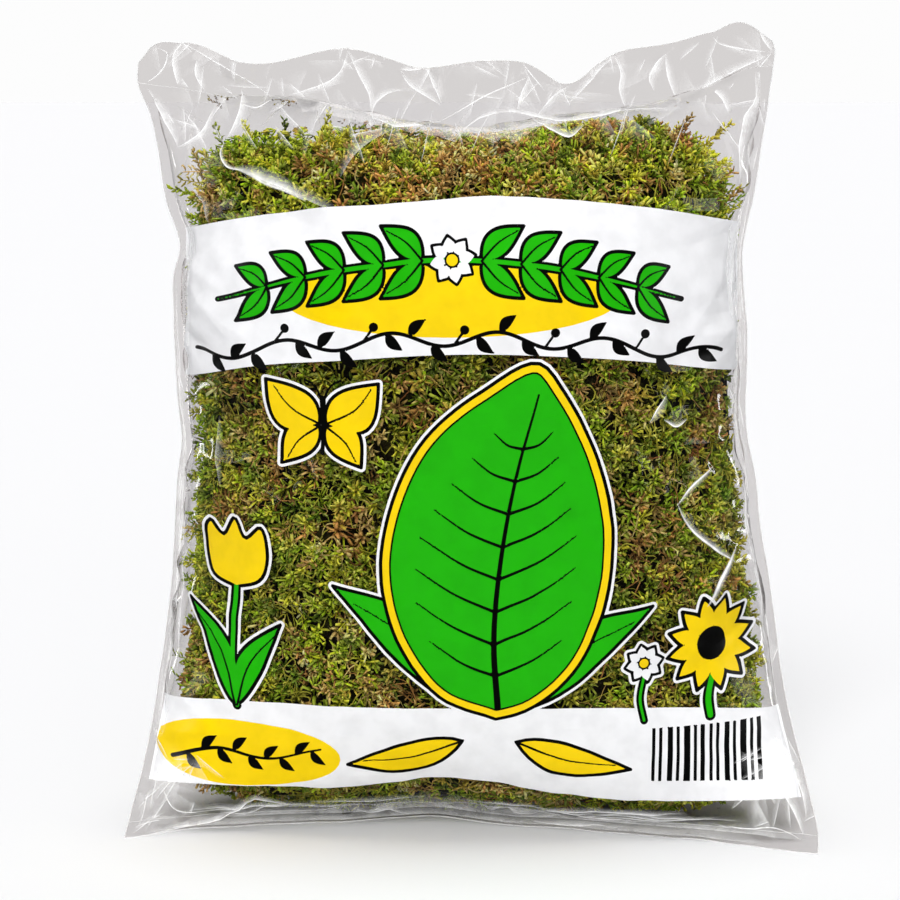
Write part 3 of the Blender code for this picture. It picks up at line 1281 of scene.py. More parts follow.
@dataclass(frozen=True)
class PaleFloor:
    """The plain pale floor."""

    colour: Colour = (0.822, 0.822, 0.834)

    def material(self, name: str) -> Material:
        """A matt white material.

        Args:
            name: Name of the material.

        Returns:
            The material.
        """
        tree = Nodes(name)
        shader = tree.add("ShaderNodeBsdfDiffuse")
        shader.inputs["Color"].default_value = (*self.colour, 1)
        return tree.done(shader.outputs[0])


class Nodes:
    """A material's node tree, with the few steps that the finishes share."""

    def __init__(self, name: str) -> None:
        """Starts an empty material of that name.

        Args:
            name: Name of the material.
        """
        self.material = bpy.data.materials.new(name)
        self.material.use_nodes = True
        self.tree = self.material.node_tree
        self.tree.nodes.clear()
        self.coords = self.add("ShaderNodeTexCoord").outputs["Object"]

    def add(self, kind: str, **values: float) -> bpy.types.Node:
        """A new node of a kind, with values for the named inputs.

        Args:
            kind: Blender's name for the kind.
            values: Values of inputs, by name.

        Returns:
            The node.
        """
        node = self.tree.nodes.new(kind)
        for label, value in values.items():
            node.inputs[label].default_value = value
        return node

    def link(self, source: Socket, target: Socket) -> None:
        """Joins two sockets."""
        self.tree.links.new(source, target)

    def math(self, step: str, *values: Socket | float) -> Socket:
        """A Math node.

        Args:
            step: What it does.
            values: Its inputs in turn, sockets or numbers.

        Returns:
            Its output.
        """
        node = self.add("ShaderNodeMath")
        node.operation = step
        for value, socket in zip(values, node.inputs):
            if isinstance(value, Socket):
                self.link(value, socket)
            else:
                socket.default_value = value
        return node.outputs[0]

    def shade(self, output: str) -> Socket:
        """An output of the mesh attribute named shade.

        Args:
            output: Name of the output.

        Returns:
            The output.
        """
        node = self.add("ShaderNodeAttribute")
        node.attribute_name = "shade"
        return node.outputs[output]

    def noise(self, scale: float, detail: float) -> Socket:
        """Noise over the object's own coordinates, scale in waves to the metre.

        Args:
            scale: Its scale.
            detail: Its octaves.

        Returns:
            Its value.
        """
        node = self.add("ShaderNodeTexNoise", Scale=scale, Detail=detail)
        self.link(self.coords, node.inputs["Vector"])
        return node.outputs["Fac"]

    def ramp(self, source: Socket, stops: Sequence[tuple[float, Colour]]) -> Socket:
        """A colour ramp with a stop at each of the places given.

        Args:
            source: What it reads.
            stops: Place and colour of two stops.

        Returns:
            Its colour.
        """
        node = self.add("ShaderNodeValToRGB")
        for element, (place, colour) in zip(node.color_ramp.elements, stops):
            element.position = place
            element.color = (*colour, 1)
        self.link(source, node.inputs[0])
        return node.outputs[0]

    def bump(
        self, layers: Sequence[tuple[float, float, float]], depth: float, strength: float
    ) -> Socket:
        """Bump from layers of noise.

        Args:
            layers: Scale, detail and share of each layer of noise.
            depth: Height of the whole, in metres.
            strength: Strength of the bump.

        Returns:
            The bump's normal.
        """
        total = None
        for scale, detail, share in layers:
            height = self.math("MULTIPLY", self.noise(scale, detail), share)
            total = height if total is None else self.math("ADD", total, height)
        node = self.add("ShaderNodeBump", Strength=strength, Distance=depth)
        self.link(total, node.inputs["Height"])
        return node.outputs["Normal"]

    def done(self, surface: Socket) -> Material:
        """Ends the tree in its output and gives the material."""
        self.link(surface, self.add("ShaderNodeOutputMaterial").inputs["Surface"])
        return self.material


def add_piece(
    name: str,
    points: Array,
    faces: Array,
    materials: Sequence[Material],
    of_face: Array | None = None,
    normals: Array | None = None,
    shades: Array | None = None,
) -> Piece:
    """A smooth-shaded mesh object, written from whole arrays.

    Args:
        name: Name of the piece.
        points: Points in millimetres.
        faces: Corners of the faces, all with the same number.
        materials: Its materials.
        of_face: Number of the material of each face.
        normals: Unit normal at each point, where the surface's own is known.
        shades: Colour at each point, kept as the attribute named shade.

    Returns:
        The object, at the origin.
    """
    mesh = bpy.data.meshes.new(name)
    mesh.vertices.add(len(points))
    mesh.vertices.foreach_set("co", (points * MM).astype(np.float32).ravel())
    mesh.loops.add(faces.size)
    mesh.loops.foreach_set("vertex_index", faces.astype(np.int32).ravel())
    mesh.polygons.add(len(faces))
    starts = np.arange(0, faces.size, faces.shape[1], dtype=np.int32)
    mesh.polygons.foreach_set("loop_start", starts)
    if of_face is not None:
        mesh.polygons.foreach_set("material_index", of_face.astype(np.int32))
    for material in materials:
        mesh.materials.append(material)
    if shades is not None:
        attribute = mesh.attributes.new("shade", "FLOAT_COLOR", "POINT")
        rgba = np.column_stack([shades, np.ones(len(shades))])
        attribute.data.foreach_set("color", rgba.astype(np.float32).ravel())
    mesh.update(calc_edges=True)
    mesh.shade_smooth()
    if normals is not None:
        mesh.normals_split_custom_set_from_vertices(normals.astype(np.float32))
    obj = bpy.data.objects.new(name, mesh)
    bpy.context.scene.collection.objects.link(obj)
    return obj


@dataclass
class Bag:
    """The clear film bag: two plies welded round their edge, and the print on the front."""

    form: BagForm
    columns: int = 222
    rows: tuple[int, int, int] = (6, 246, 26)
    crowding: float = 0.36
    print_parted_at: float = 150.0
    crease_detail: float = 1.3
    print_detail: float = 1.7
    outline_radius: float = 0.3
    weld_radius: float = 0.15
    film: ClearFilm = ClearFilm()
    milky: MilkyFilmAndGlints = MilkyFilmAndGlints()
    mark_lift: float = 0.05
    mark_error: float = 0.4
    mark_light: tuple[float, float, float] = (0, -1.5, 1.5)
    seam_cover: float = 0.35
    header_creases: int = 150
    corner_creases: int = 30
    faint_creases: int = 64
    edge_creases: int = 34
    side_folds_each: int = 11
    hem_fold_count: int = 18
    hem_floor_sheen: int = 14
    belly_creases: int = 60
    pleats: int = 26
    inks: tuple[tuple[Ink, Colour], ...] = (
        (Ink.WHITE, linear(242, 242, 244)),
        (Ink.GREEN, linear(34, 178, 0)),
        (Ink.YELLOW, linear(249, 211, 0)),
        (Ink.BLACK, linear(14, 14, 14)),
    )

    def __post_init__(self) -> None:
        """Folds the film, and rules the places that both plies share."""
        self.shared = self.shared_relief()
        self.plies = {
            side: Film(self.form, side, self.shared, self.own_relief(side)) for side in Side
        }
        across = np.sin(np.linspace(-1, 1, self.columns) * np.pi * self.crowding)
        across /= across[-1]
        fin, body, header = self.rows
        up = np.concatenate([
            np.linspace(-1, 0, fin)[:-1], np.linspace(0, 1, body)[:-1], np.linspace(1, 2, header)
        ])
        self.sheet = Sheet.ruled(across, up)

    def straight(
        self, chance: Chance, x: float, z: float, angle: float, length: float, height: Span,
        width: Span, **marks: float,
    ) -> Crease:
        """A straight random crease, half of the time a valley.

        Args:
            chance: Source of the random sizes.
            x: Middle of the crease, across.
            z: Middle of the crease, up.
            angle: Its direction, counted from level.
            length: Its length.
            height: Least and greatest height.
            width: Least and greatest width.
            marks: How its white line and pale flank are, as Crease names them.

        Returns:
            The crease.
        """
        way = np.array([np.cos(angle), np.sin(angle)]) * length / 2
        tall = chance.choice([-1, 1]) * chance.uniform(*height)
        line = ((x - way[0], z - way[1]), (x + way[0], z + way[1]))
        return Crease(line, tall, chance.uniform(*width), **marks)

    def side_folds(self, chance: Chance) -> list[Crease]:
        """Long folds that run beside the side edges, each with a small random sway.

        Args:
            chance: Source of the random sizes.

        Returns:
            The folds.
        """
        folds = []
        for side, edge in ((-1, self.form.left_edge), (1, self.form.right_edge)):
            for number in range(self.side_folds_each):
                length = chance.uniform(50, 130)
                start = chance.uniform(8, 350 - length)
                z = np.linspace(start, start + length, 9)
                inward = chance.uniform(1.6, 9.0) + np.cumsum(chance.normal(0, 0.55, 9))
                x = smooth_through(edge, z) - side * np.clip(inward, 1.2, 12)
                # Their white lines and flanks paint soft highlights on the side strips
                folds.append(Crease(
                    tuple(zip(x, z)), chance.choice([-1, 1]) * chance.uniform(0.8, 1.7),
                    chance.uniform(2.4, 4.2), milky=0.16 + 0.1 * (number % 2),
                    fan=0.6 + 1.1 * (number % 3), white=0.5, glow=0.3,
                ))
        return folds

    def hem_folds(self, chance: Chance) -> list[Crease]:
        """Wavering folds that run along the bottom weld and the fin below it, in a pale sheen
        that is a painted reflection of the floor in the film.

        Args:
            chance: Source of the random sizes.

        Returns:
            The folds.
        """
        folds = []
        # Wide faint ribbons along the hem: a painted reflection of the floor in the film
        for number in range(self.hem_floor_sheen):
            x = np.linspace(-160, -98, 8) + 20 * number
            z = smooth_through(self.form.fin_edge, x / 166) + 1 + 3 * (number % 2)
            folds.append(Crease(tuple(zip(x, z)), 0, 3, 0.1, 8, white=0.3, glow=0.3))
        for number in range(self.hem_fold_count):
            start = chance.uniform(-158, 110)
            x = np.linspace(start, start + chance.uniform(28, 70), 8)
            sway = np.cumsum(chance.normal(0, 0.8, 8))
            z = smooth_through(self.form.fin_edge, x / 166) + chance.uniform(1.5, 11) + sway * 0.8
            folds.append(Crease(
                tuple(zip(x, np.maximum(z, 1))), chance.choice([-1, 1]) * chance.uniform(0.8, 1.6),
                chance.uniform(2.4, 4.4), milky=0.15 + 0.1 * (number % 2),
                fan=chance.uniform(0.8, 3.0), white=0.6, glow=0.25,
            ))
        return folds

    def shared_relief(self) -> Relief:
        """Folds of the seams and the header, where both plies move together.

        Returns:
            Their relief.
        """
        relief = Relief()
        relief.ripple(0.45, 26, 5)
        chance = np.random.default_rng(11)
        # Painted highlights and sheen: the white lines and pale flanks these marks give
        fine = {"milky": 0.16, "fan": 2.2, "white": 0.6, "glow": 0.3}
        broad = {"milky": 0.1, "white": 0.24, "glow": 0.17}
        for number in range(self.header_creases):
            x, z = chance.uniform(-160, 148), chance.uniform(338, 392)
            angle, length = chance.normal(np.pi / 2, 0.8), chance.uniform(6, 24)
            marks = fine if number % 2 else {}
            relief.fold(self.straight(chance, x, z, angle, length, (0.35, 0.89), (3.5, 8), **marks))
        for corner in (-142, 146):
            for number in range(self.corner_creases):
                x, z = corner + chance.normal(0, 11), chance.uniform(5, 40)
                angle, length = chance.normal(0.5, 0.8), chance.uniform(7, 22)
                marks = fine if number % 2 else {}
                relief.fold(self.straight(chance, x, z, angle, length, (0.4, 1.1), (3, 6), **marks))
        for number in range(self.faint_creases):
            x, z = chance.uniform(-156, 146), chance.uniform(340, 388)
            if number % 4 == 0:
                x, z = chance.choice([-142, 146]) + chance.normal(0, 9), chance.uniform(6, 36)
            angle, length = chance.normal(np.pi / 2, 0.9), chance.uniform(10, 30)
            fan = chance.uniform(4, 12)
            relief.fold(self.straight(chance, x, z, angle, length, (0.1, 0.5), (6, 12), fan=fan, **broad))
        for edge, side in ((self.form.left_edge, -1), (self.form.right_edge, 1)):
            for number in range(self.edge_creases):
                z = chance.uniform(8, 370)
                x = float(smooth_through(edge, z)) - side * chance.uniform(1, 8)
                angle, length = chance.normal(np.pi / 2, 0.35), chance.uniform(6, 20)
                marks = {} if number % 3 else fine
                relief.fold(self.straight(chance, x, z, angle, length, (0.3, 0.9), (2.5, 5), **marks))
        for crease in (*SHARED_CREASES, *self.side_folds(chance), *self.hem_folds(chance)):
            relief.fold(crease)
        return relief

    def own_relief(self, side: Side) -> Relief:
        """Folds of one ply over the moss.

        Args:
            side: Which ply.

        Returns:
            Its relief: soft swells where moss presses, fine random creases, and pleats that
            run in from the side seams and down from the top weld.
        """
        relief = Relief()
        seed = 20 if side is Side.FRONT else 40
        relief.ripple(0.5, 42, seed)
        relief.ripple(0.16, 15, seed + 1)
        chance = np.random.default_rng(seed + 2)
        for _ in range(self.belly_creases):
            x, z = chance.uniform(-150, 150), chance.uniform(10, 345)
            angle, length = chance.uniform(0, np.pi), chance.uniform(12, 36)
            relief.fold(self.straight(chance, x, z, angle, length, (0.15, 0.5), (4, 9)))
        for edge, inward in ((self.form.left_edge, 1), (self.form.right_edge, -1)):
            for _ in range(self.pleats):
                z, length = chance.uniform(14, 350), chance.uniform(16, 40)
                x = float(smooth_through(edge, z))
                line = ((x, z), (x + inward * length, z + chance.normal(0, 13)))
                tall = chance.choice([-1, 1]) * chance.uniform(0.5, 1.5)
                relief.fold(Crease(line, tall, chance.uniform(4, 9)))
        for number in range(self.pleats):
            x, length = chance.uniform(-145, 140), chance.uniform(10, 30)
            line = ((x, 352), (x + chance.normal(0, 8), 352 - length))
            tall = chance.choice([-1, 1]) * chance.uniform(0.5, 1.4)
            milky = 0.0 if number % 4 else 0.14
            relief.fold(Crease(line, tall, chance.uniform(4, 8), milky, 1.4 * milky, 0.6, 0.25))
        for crease in FRONT_CREASES if side is Side.FRONT else ():
            relief.fold(crease)
        return relief

    def creased(self, side: Side, sheet: Sheet) -> Sheet:
        """A sheet made finer near the strong creases of a ply.

        Args:
            side: Which ply.
            sheet: The sheet.

        Returns:
            The finer sheet.
        """
        at, film = self.flat(sheet, side), self.plies[side]
        near = np.minimum(film.shared.distance(at), film.own.distance(at))
        return sheet.refined(near, self.crease_detail)

    def printed_sheet(self, artwork: Print) -> tuple[Sheet, Array]:
        """The front ply cut along every line of the print.

        Args:
            artwork: The print.

        Returns:
            The sheet, and the ink of each of its faces.
        """
        layers = artwork.inks()
        sheet = self.sheet
        at = self.flat(sheet)
        near = np.full(len(at), FAR)
        for _, shapes in layers:
            near = np.minimum(near, np.abs(nearest(shapes, at)))
        sheet = sheet.refined(near, self.print_detail)
        for _, shapes in layers:
            sheet = sheet.cut(nearest(shapes, self.flat(sheet)))
        middle = self.flat(sheet)[sheet.faces].mean(axis=1)
        ink = np.full(len(middle), Ink.CLEAR.value)
        for colour, shapes in layers:
            ink[nearest(shapes, middle) < 0] = colour.value
        return sheet, ink

    def flat(self, sheet: Sheet, side: Side = Side.FRONT) -> Array:
        """The places (x, z) of a sheet on a ply's form."""
        return self.form.flat(*sheet.places.T, side)

    def build_clear(self, side: Side, sheet: Sheet) -> list[Piece]:
        """Makes the clear part of a ply, and the white lines and painted sheen of its creases.

        Args:
            side: Which ply.
            sheet: The places that are clear.

        Returns:
            The two pieces.
        """
        name = side.name.lower()
        clear = self.creased(side, sheet)
        film = self.piece(f"clear_film_{name}", side, clear, [self.film.material(f"clear_film_{name}")])
        return [film, self.build_marks(side, f"crease_marks_{name}")]

    def build_marks(self, side: Side, name: str) -> Piece:
        """Lays the ribbons of a ply's creases on it: white lines that are partly painted highlights,
        and painted sheen beside them. The front ply has the shared ones too.

        A ribbon's points are looked up on the ply, and faces with a point that lies off it are
        left out.

        Args:
            side: Which ply.
            name: Name of the piece.

        Returns:
            The piece.
        """
        film = self.plies[side]
        shared = self.shared.marks if side is Side.FRONT else []
        ribbons = np.stack([*shared, *film.own.marks])
        count, rows, length = ribbons.shape[:3]
        at = ribbons[..., :2].reshape(-1, 2)
        places = self.form.places(at, side)
        points, _ = film.surface(places, self.mark_lift)
        # Marks are lit as if they faced forward and up, so that none of them looks dark
        normals = unit(self.form.ply_normal(*places.T, side) * side.value + self.mark_light)
        error = np.linalg.norm(self.form.flat(*places.T, side) - at, axis=1)
        a, b, c, d = (corner.ravel() for corner in cells(np.arange(rows * length).reshape(rows, length)))
        template = np.concatenate([np.stack([a, b, c], 1), np.stack([a, c, d], 1)])
        faces = many(template, count, rows * length)
        faces = faces[(error[faces] < self.mark_error).all(axis=1)]
        used, faces = np.unique(faces, return_inverse=True)
        cover = np.repeat(ribbons[..., 2].reshape(-1, 1), 3, axis=1)
        marks = add_piece(
            name, points[used], faces.reshape(-1, 3), [self.milky.material(name)],
            normals=normals[used], shades=cover[used],
        )
        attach(marks, BODY)
        marks.visible_shadow = False
        return marks

    def piece(
        self, name: str, side: Side, sheet: Sheet, materials: Sequence[Material],
        numbers: Array | None = None,
    ) -> Piece:
        """Makes one piece of a ply, and hides the solid that it stands for.

        Args:
            name: Name of the piece.
            side: Which ply.
            sheet: Its places.
            materials: Its materials.
            numbers: Number of the material of each face.

        Returns:
            The piece.
        """
        points, normals = self.plies[side].surface(sheet.places)
        faces = sheet.faces if side is Side.FRONT else sheet.faces[:, ::-1]
        piece = add_piece(name, points, faces, materials, numbers, normals)
        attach(piece, BODY)
        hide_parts(f"bag_film_{side.name.lower()}")
        # Clear film lets the studio's light straight through to the moss
        piece.visible_shadow = "print" in name
        return piece

    def build_seams(self) -> Piece:
        """The bag's welded edges as thin beads of film, round its outline and along its welds.

        Returns:
            The piece.
        """
        turn = np.linspace(0, 1, 260)
        fixed = np.ones_like(turn)
        runs = (
            (-fixed, 3 * turn - 1, self.outline_radius), (fixed, 3 * turn - 1, self.outline_radius),
            (2 * turn - 1, -fixed, self.outline_radius), (2 * turn - 1, 2 * fixed, self.outline_radius),
            (2 * turn - 1, fixed, self.weld_radius), (2 * turn - 1, 0 * fixed, self.weld_radius),
        )
        film = self.plies[Side.FRONT]
        paths = np.stack([film.surface(np.column_stack(run[:2]))[0] for run in runs])
        radii = np.repeat([[run[2]] for run in runs], len(turn), axis=1)
        paths[..., 2] = np.maximum(paths[..., 2], radii + FLOOR_GAP)
        points, template = tubes_mesh(paths, radii, 6)
        faces = many(template, len(points), points.shape[1])
        points = points.reshape(-1, 3)
        shades = np.full(points.shape, self.seam_cover)
        material = self.milky.material("film_seams")
        seams = add_piece("film_seams", points, faces, [material], shades=shades)
        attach(seams, BODY)
        seams.visible_shadow = False
        return seams

    def build(self, artwork: Print) -> list[Piece]:
        """Makes both clear plies with their creases, the print and the welds.

        Args:
            artwork: The print of the front ply.

        Returns:
            The pieces.
        """
        inks = [GlossInk(colour).material(f"ink_{ink.name.lower()}") for ink, colour in self.inks]
        sheet, ink = self.printed_sheet(artwork)
        pieces = self.build_clear(Side.FRONT, sheet.part(ink == Ink.CLEAR.value))
        pieces += self.build_clear(Side.BACK, self.sheet)
        high = self.flat(sheet)[sheet.faces].mean(axis=1)[:, 1] > self.print_parted_at
        for name, half in (("front_print_upper", high), ("front_print_lower", ~high)):
            chosen = (ink != Ink.CLEAR.value) & half
            pieces.append(self.piece(name, Side.FRONT, sheet.part(chosen), inks, ink[chosen]))
        pieces.append(self.build_seams())
        return pieces


@dataclass
class Room:
    """The room inside the creased film, kept as tables, so that moss stays within it."""

    bag: Bag
    step: float = 2.0
    reach: float = 182.0
    height: float = 404.0
    floor_reach: float = 100.0
    facing: float = 0.35
    spreading: int = 60
    front_lift: float = 7.5
    top_waver: float = 2.5
    side_waver: float = 1.8
    dense_top: Line = (
        (-150, 312), (-136, 324), (-122, 330), (-100, 334), (-72, 336), (-40, 337), (-10, 336),
        (20, 340), (60, 343), (90, 342), (108, 337), (124, 328), (140, 311),
    )

    def __post_init__(self) -> None:
        """Fills the tables: depth of each ply over (x, z), and the floor's height over (x, y)."""
        across, up = np.meshgrid(np.linspace(-1, 1, 420), np.linspace(0, 1, 460))
        places = np.column_stack([across.ravel(), up.ravel()])
        front, _ = self.bag.plies[Side.FRONT].surface(places)
        back, normal = self.bag.plies[Side.BACK].surface(places)
        upright, under = normal[:, 1] > self.facing, normal[:, 2] < -self.facing
        self.front = self.table(front[:, 0], front[:, 2], front[:, 1], np.maximum)
        self.back = self.table(back[upright, 0], back[upright, 2], back[upright, 1], np.minimum)
        x, y, z = back[under].T
        self.under = self.table(x, y + self.floor_reach, z, np.maximum)

    def table(self, u: Array, v: Array, value: Array, keep: Callable) -> Array:
        """The greatest or least value in each cell of (u, v), spread into the empty cells.

        Args:
            u: First coordinate of points.
            v: Second coordinate.
            value: What is kept.
            keep: np.maximum or np.minimum.

        Returns:
            The table.
        """
        shape = (int(2 * self.reach / self.step), int(self.height / self.step))
        i = np.clip(((u + self.reach) / self.step).astype(int), 0, shape[0] - 1)
        j = np.clip((v / self.step).astype(int), 0, shape[1] - 1)
        empty = -np.inf if keep is np.maximum else np.inf
        table = np.full(shape, empty)
        keep.at(table, (i, j), value)
        for _ in range(self.spreading):
            bare = ~np.isfinite(table)
            if not bare.any():
                break
            padded = np.pad(table, 1, mode="edge")
            around = np.stack([padded[:-2, 1:-1], padded[2:, 1:-1], padded[1:-1, :-2], padded[1:-1, 2:]])
            best = np.max(around, axis=0) if keep is np.maximum else np.min(around, axis=0)
            table = np.where(bare, best, table)
        return table

    def look(self, table: Array, u: Array, v: Array) -> Array:
        """Values of a table at places, by straight lines between the middles of its cells.

        Args:
            table: The table.
            u: First coordinate.
            v: Second coordinate.

        Returns:
            The values.
        """
        a = np.clip((u + self.reach) / self.step - 0.5, 0, table.shape[0] - 1.001)
        b = np.clip(v / self.step - 0.5, 0, table.shape[1] - 1.001)
        return between(table, a, b)

    def hold(self, points: Array, margin: float, seam: float = 9.0, above: float = 60.0) -> Array:
        """Moves points that lie outside the room back in, by a margin.

        Args:
            points: Points, one to a row.
            margin: Least distance from the film.
            seam: Least distance from the side edges. It wavers a little with the height.
            above: How far it may reach above the line where the moss is dense.

        Returns:
            The points, each held first in height, then across, then in depth. At the front
            they stay a little higher above the floor.
        """
        x, y, z = points.T
        form = self.bag.form
        lift = self.front_lift * ease((-y - 8) / 30)
        z = np.maximum(z, self.look(self.under, x, y + self.floor_reach) + margin + lift)
        weld = smooth_through(form.top_weld, x / 152)
        waver = self.top_waver * np.sin(x / 4.7) * np.sin(x / 2.3 + y / 5)
        dense = smooth_through(self.dense_top, x) + waver + above
        z = np.minimum(z, np.minimum(weld - margin - 1, dense))
        left = seam + self.side_waver * np.sin(z / 9.0) * np.sin(z / 23.0)
        right = seam - self.side_waver * np.sin(z / 11.0) * np.sin(z / 19.0)
        x = np.clip(
            x, smooth_through(form.left_edge, z) + left, smooth_through(form.right_edge, z) - right
        )
        low = self.look(self.front, x, z) + margin
        high = self.look(self.back, x, z) - margin
        middle = (low + high) / 2
        y = np.clip(y, np.minimum(low, middle), np.maximum(high, middle))
        return np.column_stack([x, y, z])


@dataclass
class MossClump:
    """The clump of moss: a dark pressed bed, and leafy shoots that stand out from it."""

    form: BagForm
    room: Room
    artwork: Print
    across: float = 0.945
    up: Span = (0.055, 0.975)
    depth: float = 0.975
    squareness: Span = (6.0, 3.2)
    lumps: Sequence[tuple[float, float, float, float]] = (
        (0.030, 4.0, 5.0, 0.1), (0.026, 7.0, -3.0, 0.55), (0.022, -6.0, 8.0, 0.3),
    )
    lumps_start: Span = (0.12, 0.3)
    bed_grid: tuple[int, int] = (140, 92)
    bed_inset: float = 7.0
    bed_roughness: float = 1.3
    least_inset: float = 4.0
    film_margin: float = 4.0
    seam_margin: float = 18.0
    root_grid: tuple[int, int] = (720, 420)
    draws: int = 60000

    def skin(self, direction: Array) -> Array:
        """The clump's skin, as its solid has it: a squared-off ball laid between the plies.

        Its three axes stand for the place across, the share of the way from the front ply to
        the back one, and the place up. Lumps press it inward.

        Args:
            direction: Unit vectors, one to a row.

        Returns:
            Points, one to a row.
        """
        bottom, top = self.squareness
        power = bottom + (top - bottom) * (direction[:, 2:] + 1) / 2
        squared = (np.abs(direction) ** power).sum(axis=1, keepdims=True) ** (1 / power)
        across, depth, up = (direction / squared).T
        lump = np.zeros_like(across)
        for share, lumps_across, lumps_up, phase in self.lumps:
            turns = lumps_across * across + lumps_up * up + np.sign(depth) * phase
            lump += share * (1 - np.sin(np.pi * turns))
        low, high = self.up
        across = self.across * across
        up = (low + high) / 2 + (high - low) / 2 * up
        first, last = self.lumps_start
        lumpy = np.clip((up - first) / (last - first), 0, 1)
        inward = 1 - lump * lumpy * np.abs(depth) ** 0.5
        front = self.form.ply(across, up, Side.FRONT)
        back = self.form.ply(across, up, Side.BACK)
        return (front + back) / 2 + (depth * inward * self.depth)[:, None] * (back - front) / 2

    def skin_grid(self, around: int, rise: int) -> tuple[Array, Array]:
        """Points and outward normals of the skin on a grid of directions, seam closed.

        Args:
            around: Directions round the clump.
            rise: Directions from its foot to its top.

        Returns:
            Points and normals, shaped (around + 1, rise, 3).
        """
        turn = np.linspace(0, 2 * np.pi, around + 1)
        tilt = np.linspace(0.004, np.pi - 0.004, rise)
        a, b = np.meshgrid(turn, tilt, indexing="ij")
        ball = np.stack([np.sin(b) * np.cos(a), np.sin(b) * np.sin(a), -np.cos(b)], axis=-1)
        points = self.skin(ball.reshape(-1, 3)).reshape(*a.shape, 3)
        points[-1] = points[0]
        ringed = np.concatenate([points[-2:-1], points, points[1:2]])
        return points, unit(np.cross(ringed[2:] - ringed[:-2], np.gradient(points, axis=1)))

    def build_bed(self) -> Piece:
        """The bed: the skin moved inward, roughened by random swells, and closed at its poles.

        Returns:
            The piece.
        """
        around, rise = self.bed_grid
        points, normals = self.skin_grid(around, rise)
        points, normals = points[:-1], normals[:-1]
        flat = points.reshape(-1, 3)
        rough = ripples(flat, 13, 16, 3) + 0.6 * ripples(flat, 5, 16, 4)
        inset = self.bed_inset + self.bed_roughness * rough.reshape(around, rise)
        grid = points - normals * np.maximum(inset, self.least_inset)[..., None]
        held = self.room.hold(grid.reshape(-1, 3), self.film_margin, self.seam_margin, -5.0)
        poles = np.array([held.reshape(around, rise, 3)[:, end].mean(axis=0) for end in (0, -1)])
        number = np.arange(around * rise).reshape(around, rise)
        after = np.roll(number, -1, axis=0)
        quads = np.stack([number[:, :-1], after[:, :-1], after[:, 1:], number[:, 1:]], -1).reshape(-1, 4)
        sides = np.concatenate([quads[:, [0, 1, 2]], quads[:, [0, 2, 3]]])
        count = around * rise
        low_cap = np.stack([after[:, 0], number[:, 0], np.full(around, count)], -1)
        high_cap = np.stack([number[:, -1], after[:, -1], np.full(around, count + 1)], -1)
        faces = np.concatenate([sides, low_cap, high_cap])
        bed = add_piece("moss_bed", np.vstack([held, poles]), faces, [MossBed().material("moss_bed")])
        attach(bed, BODY)
        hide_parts("moss_clump")
        return bed

    def rooted(self, spacing: Callable[[Array, Array], Array], seed: int) -> tuple[Array, Array]:
        """Evenly scattered places on the skin.

        Places are drawn at random by area, four times too many, and one is kept in each cube
        of the spacing wanted there.

        Args:
            spacing: Gives the spacing wanted at points with normals.
            seed: Seed of the draw.

        Returns:
            Points, and outward normals.
        """
        chance = np.random.default_rng(seed)
        points, normals = self.skin_grid(*self.root_grid)
        corner = points[:-1, :-1]
        area = np.cross(points[1:, :-1] - corner, points[:-1, 1:] - corner)
        area = np.linalg.norm(area, axis=-1)
        weight = np.cumsum(area.ravel())
        cell = np.searchsorted(weight, chance.uniform(0, weight[-1], self.draws))
        i, j = np.unravel_index(np.minimum(cell, area.size - 1), area.shape)
        f, g = chance.uniform(0, 1, (2, len(i), 1))
        at = (points[i, j] * (1 - f) + points[i + 1, j] * f) * (1 - g)
        at += (points[i, j + 1] * (1 - f) + points[i + 1, j + 1] * f) * g
        out = unit(normals[i, j] + 0 * f)
        gap = spacing(at, out)
        kept = []
        for size in np.unique(gap):
            mine = np.flatnonzero(gap == size)
            key = np.floor(at[mine] / size).astype(int)
            kept.append(mine[np.unique(key, axis=0, return_index=True)[1]])
        kept = np.sort(np.concatenate(kept))
        return at[kept], out[kept]

    def hidden(self, at: Array, out: Array) -> Array:
        """Which places lie well behind the white print of the front ply.

        Args:
            at: Points, one to a row.
            out: Outward normals.

        Returns:
            True where they do.
        """
        _, ground = self.artwork.inks()[0]
        return (nearest(ground, at[:, [0, 2]]) < -5.0) & (out[:, 1] < -0.5)


# Corners of a leaf of two rings: its root, two rings of left, right and keel, and its tip
LEAF_FACES = np.array([
    (2, 5, 4), (2, 4, 1), (1, 4, 6), (1, 6, 3), (3, 6, 5), (3, 5, 2),
    (0, 1, 3), (0, 3, 2), (0, 2, 1), (7, 6, 4), (7, 5, 6), (7, 4, 5),
])


def leaves_mesh(root: Array, tip: Array, curl: Array, side: Array, width: Array) -> Array:
    """Points of many small leaves, eight to each.

    A leaf is a root, a ring near it, a smaller ring near the tip, and a tip. Each ring has a
    left edge, a right edge and a keel below, and stands off the straight line by the curl.

    Args:
        root: Where each leaf starts.
        tip: Where it ends.
        curl: How far its middle stands off the line between them.
        side: Unit vector along its width.
        width: Its width.

    Returns:
        Points shaped (leaves, 8, 3), in the order that LEAF_FACES names.
    """
    keel = unit(np.cross(tip - root, side)) * width[:, None] * 0.55
    edge = side * width[:, None] / 2
    near = root + (tip - root) * 0.34 + curl * 0.7
    far = root + (tip - root) * 0.8 + curl * 1.2
    rows = [root]
    for ring, size in ((near, 1.0), (far, 0.82)):
        rows += [ring + edge * size, ring - edge * size, ring - keel * size]
    rows.append(tip)
    return np.stack(rows, axis=1)


def many(template: Array, count: int, corners: int) -> Array:
    """Faces of copies of one template, each numbered on from the last."""
    return (template[None] + (np.arange(count) * corners)[:, None, None]).reshape(-1, 3)


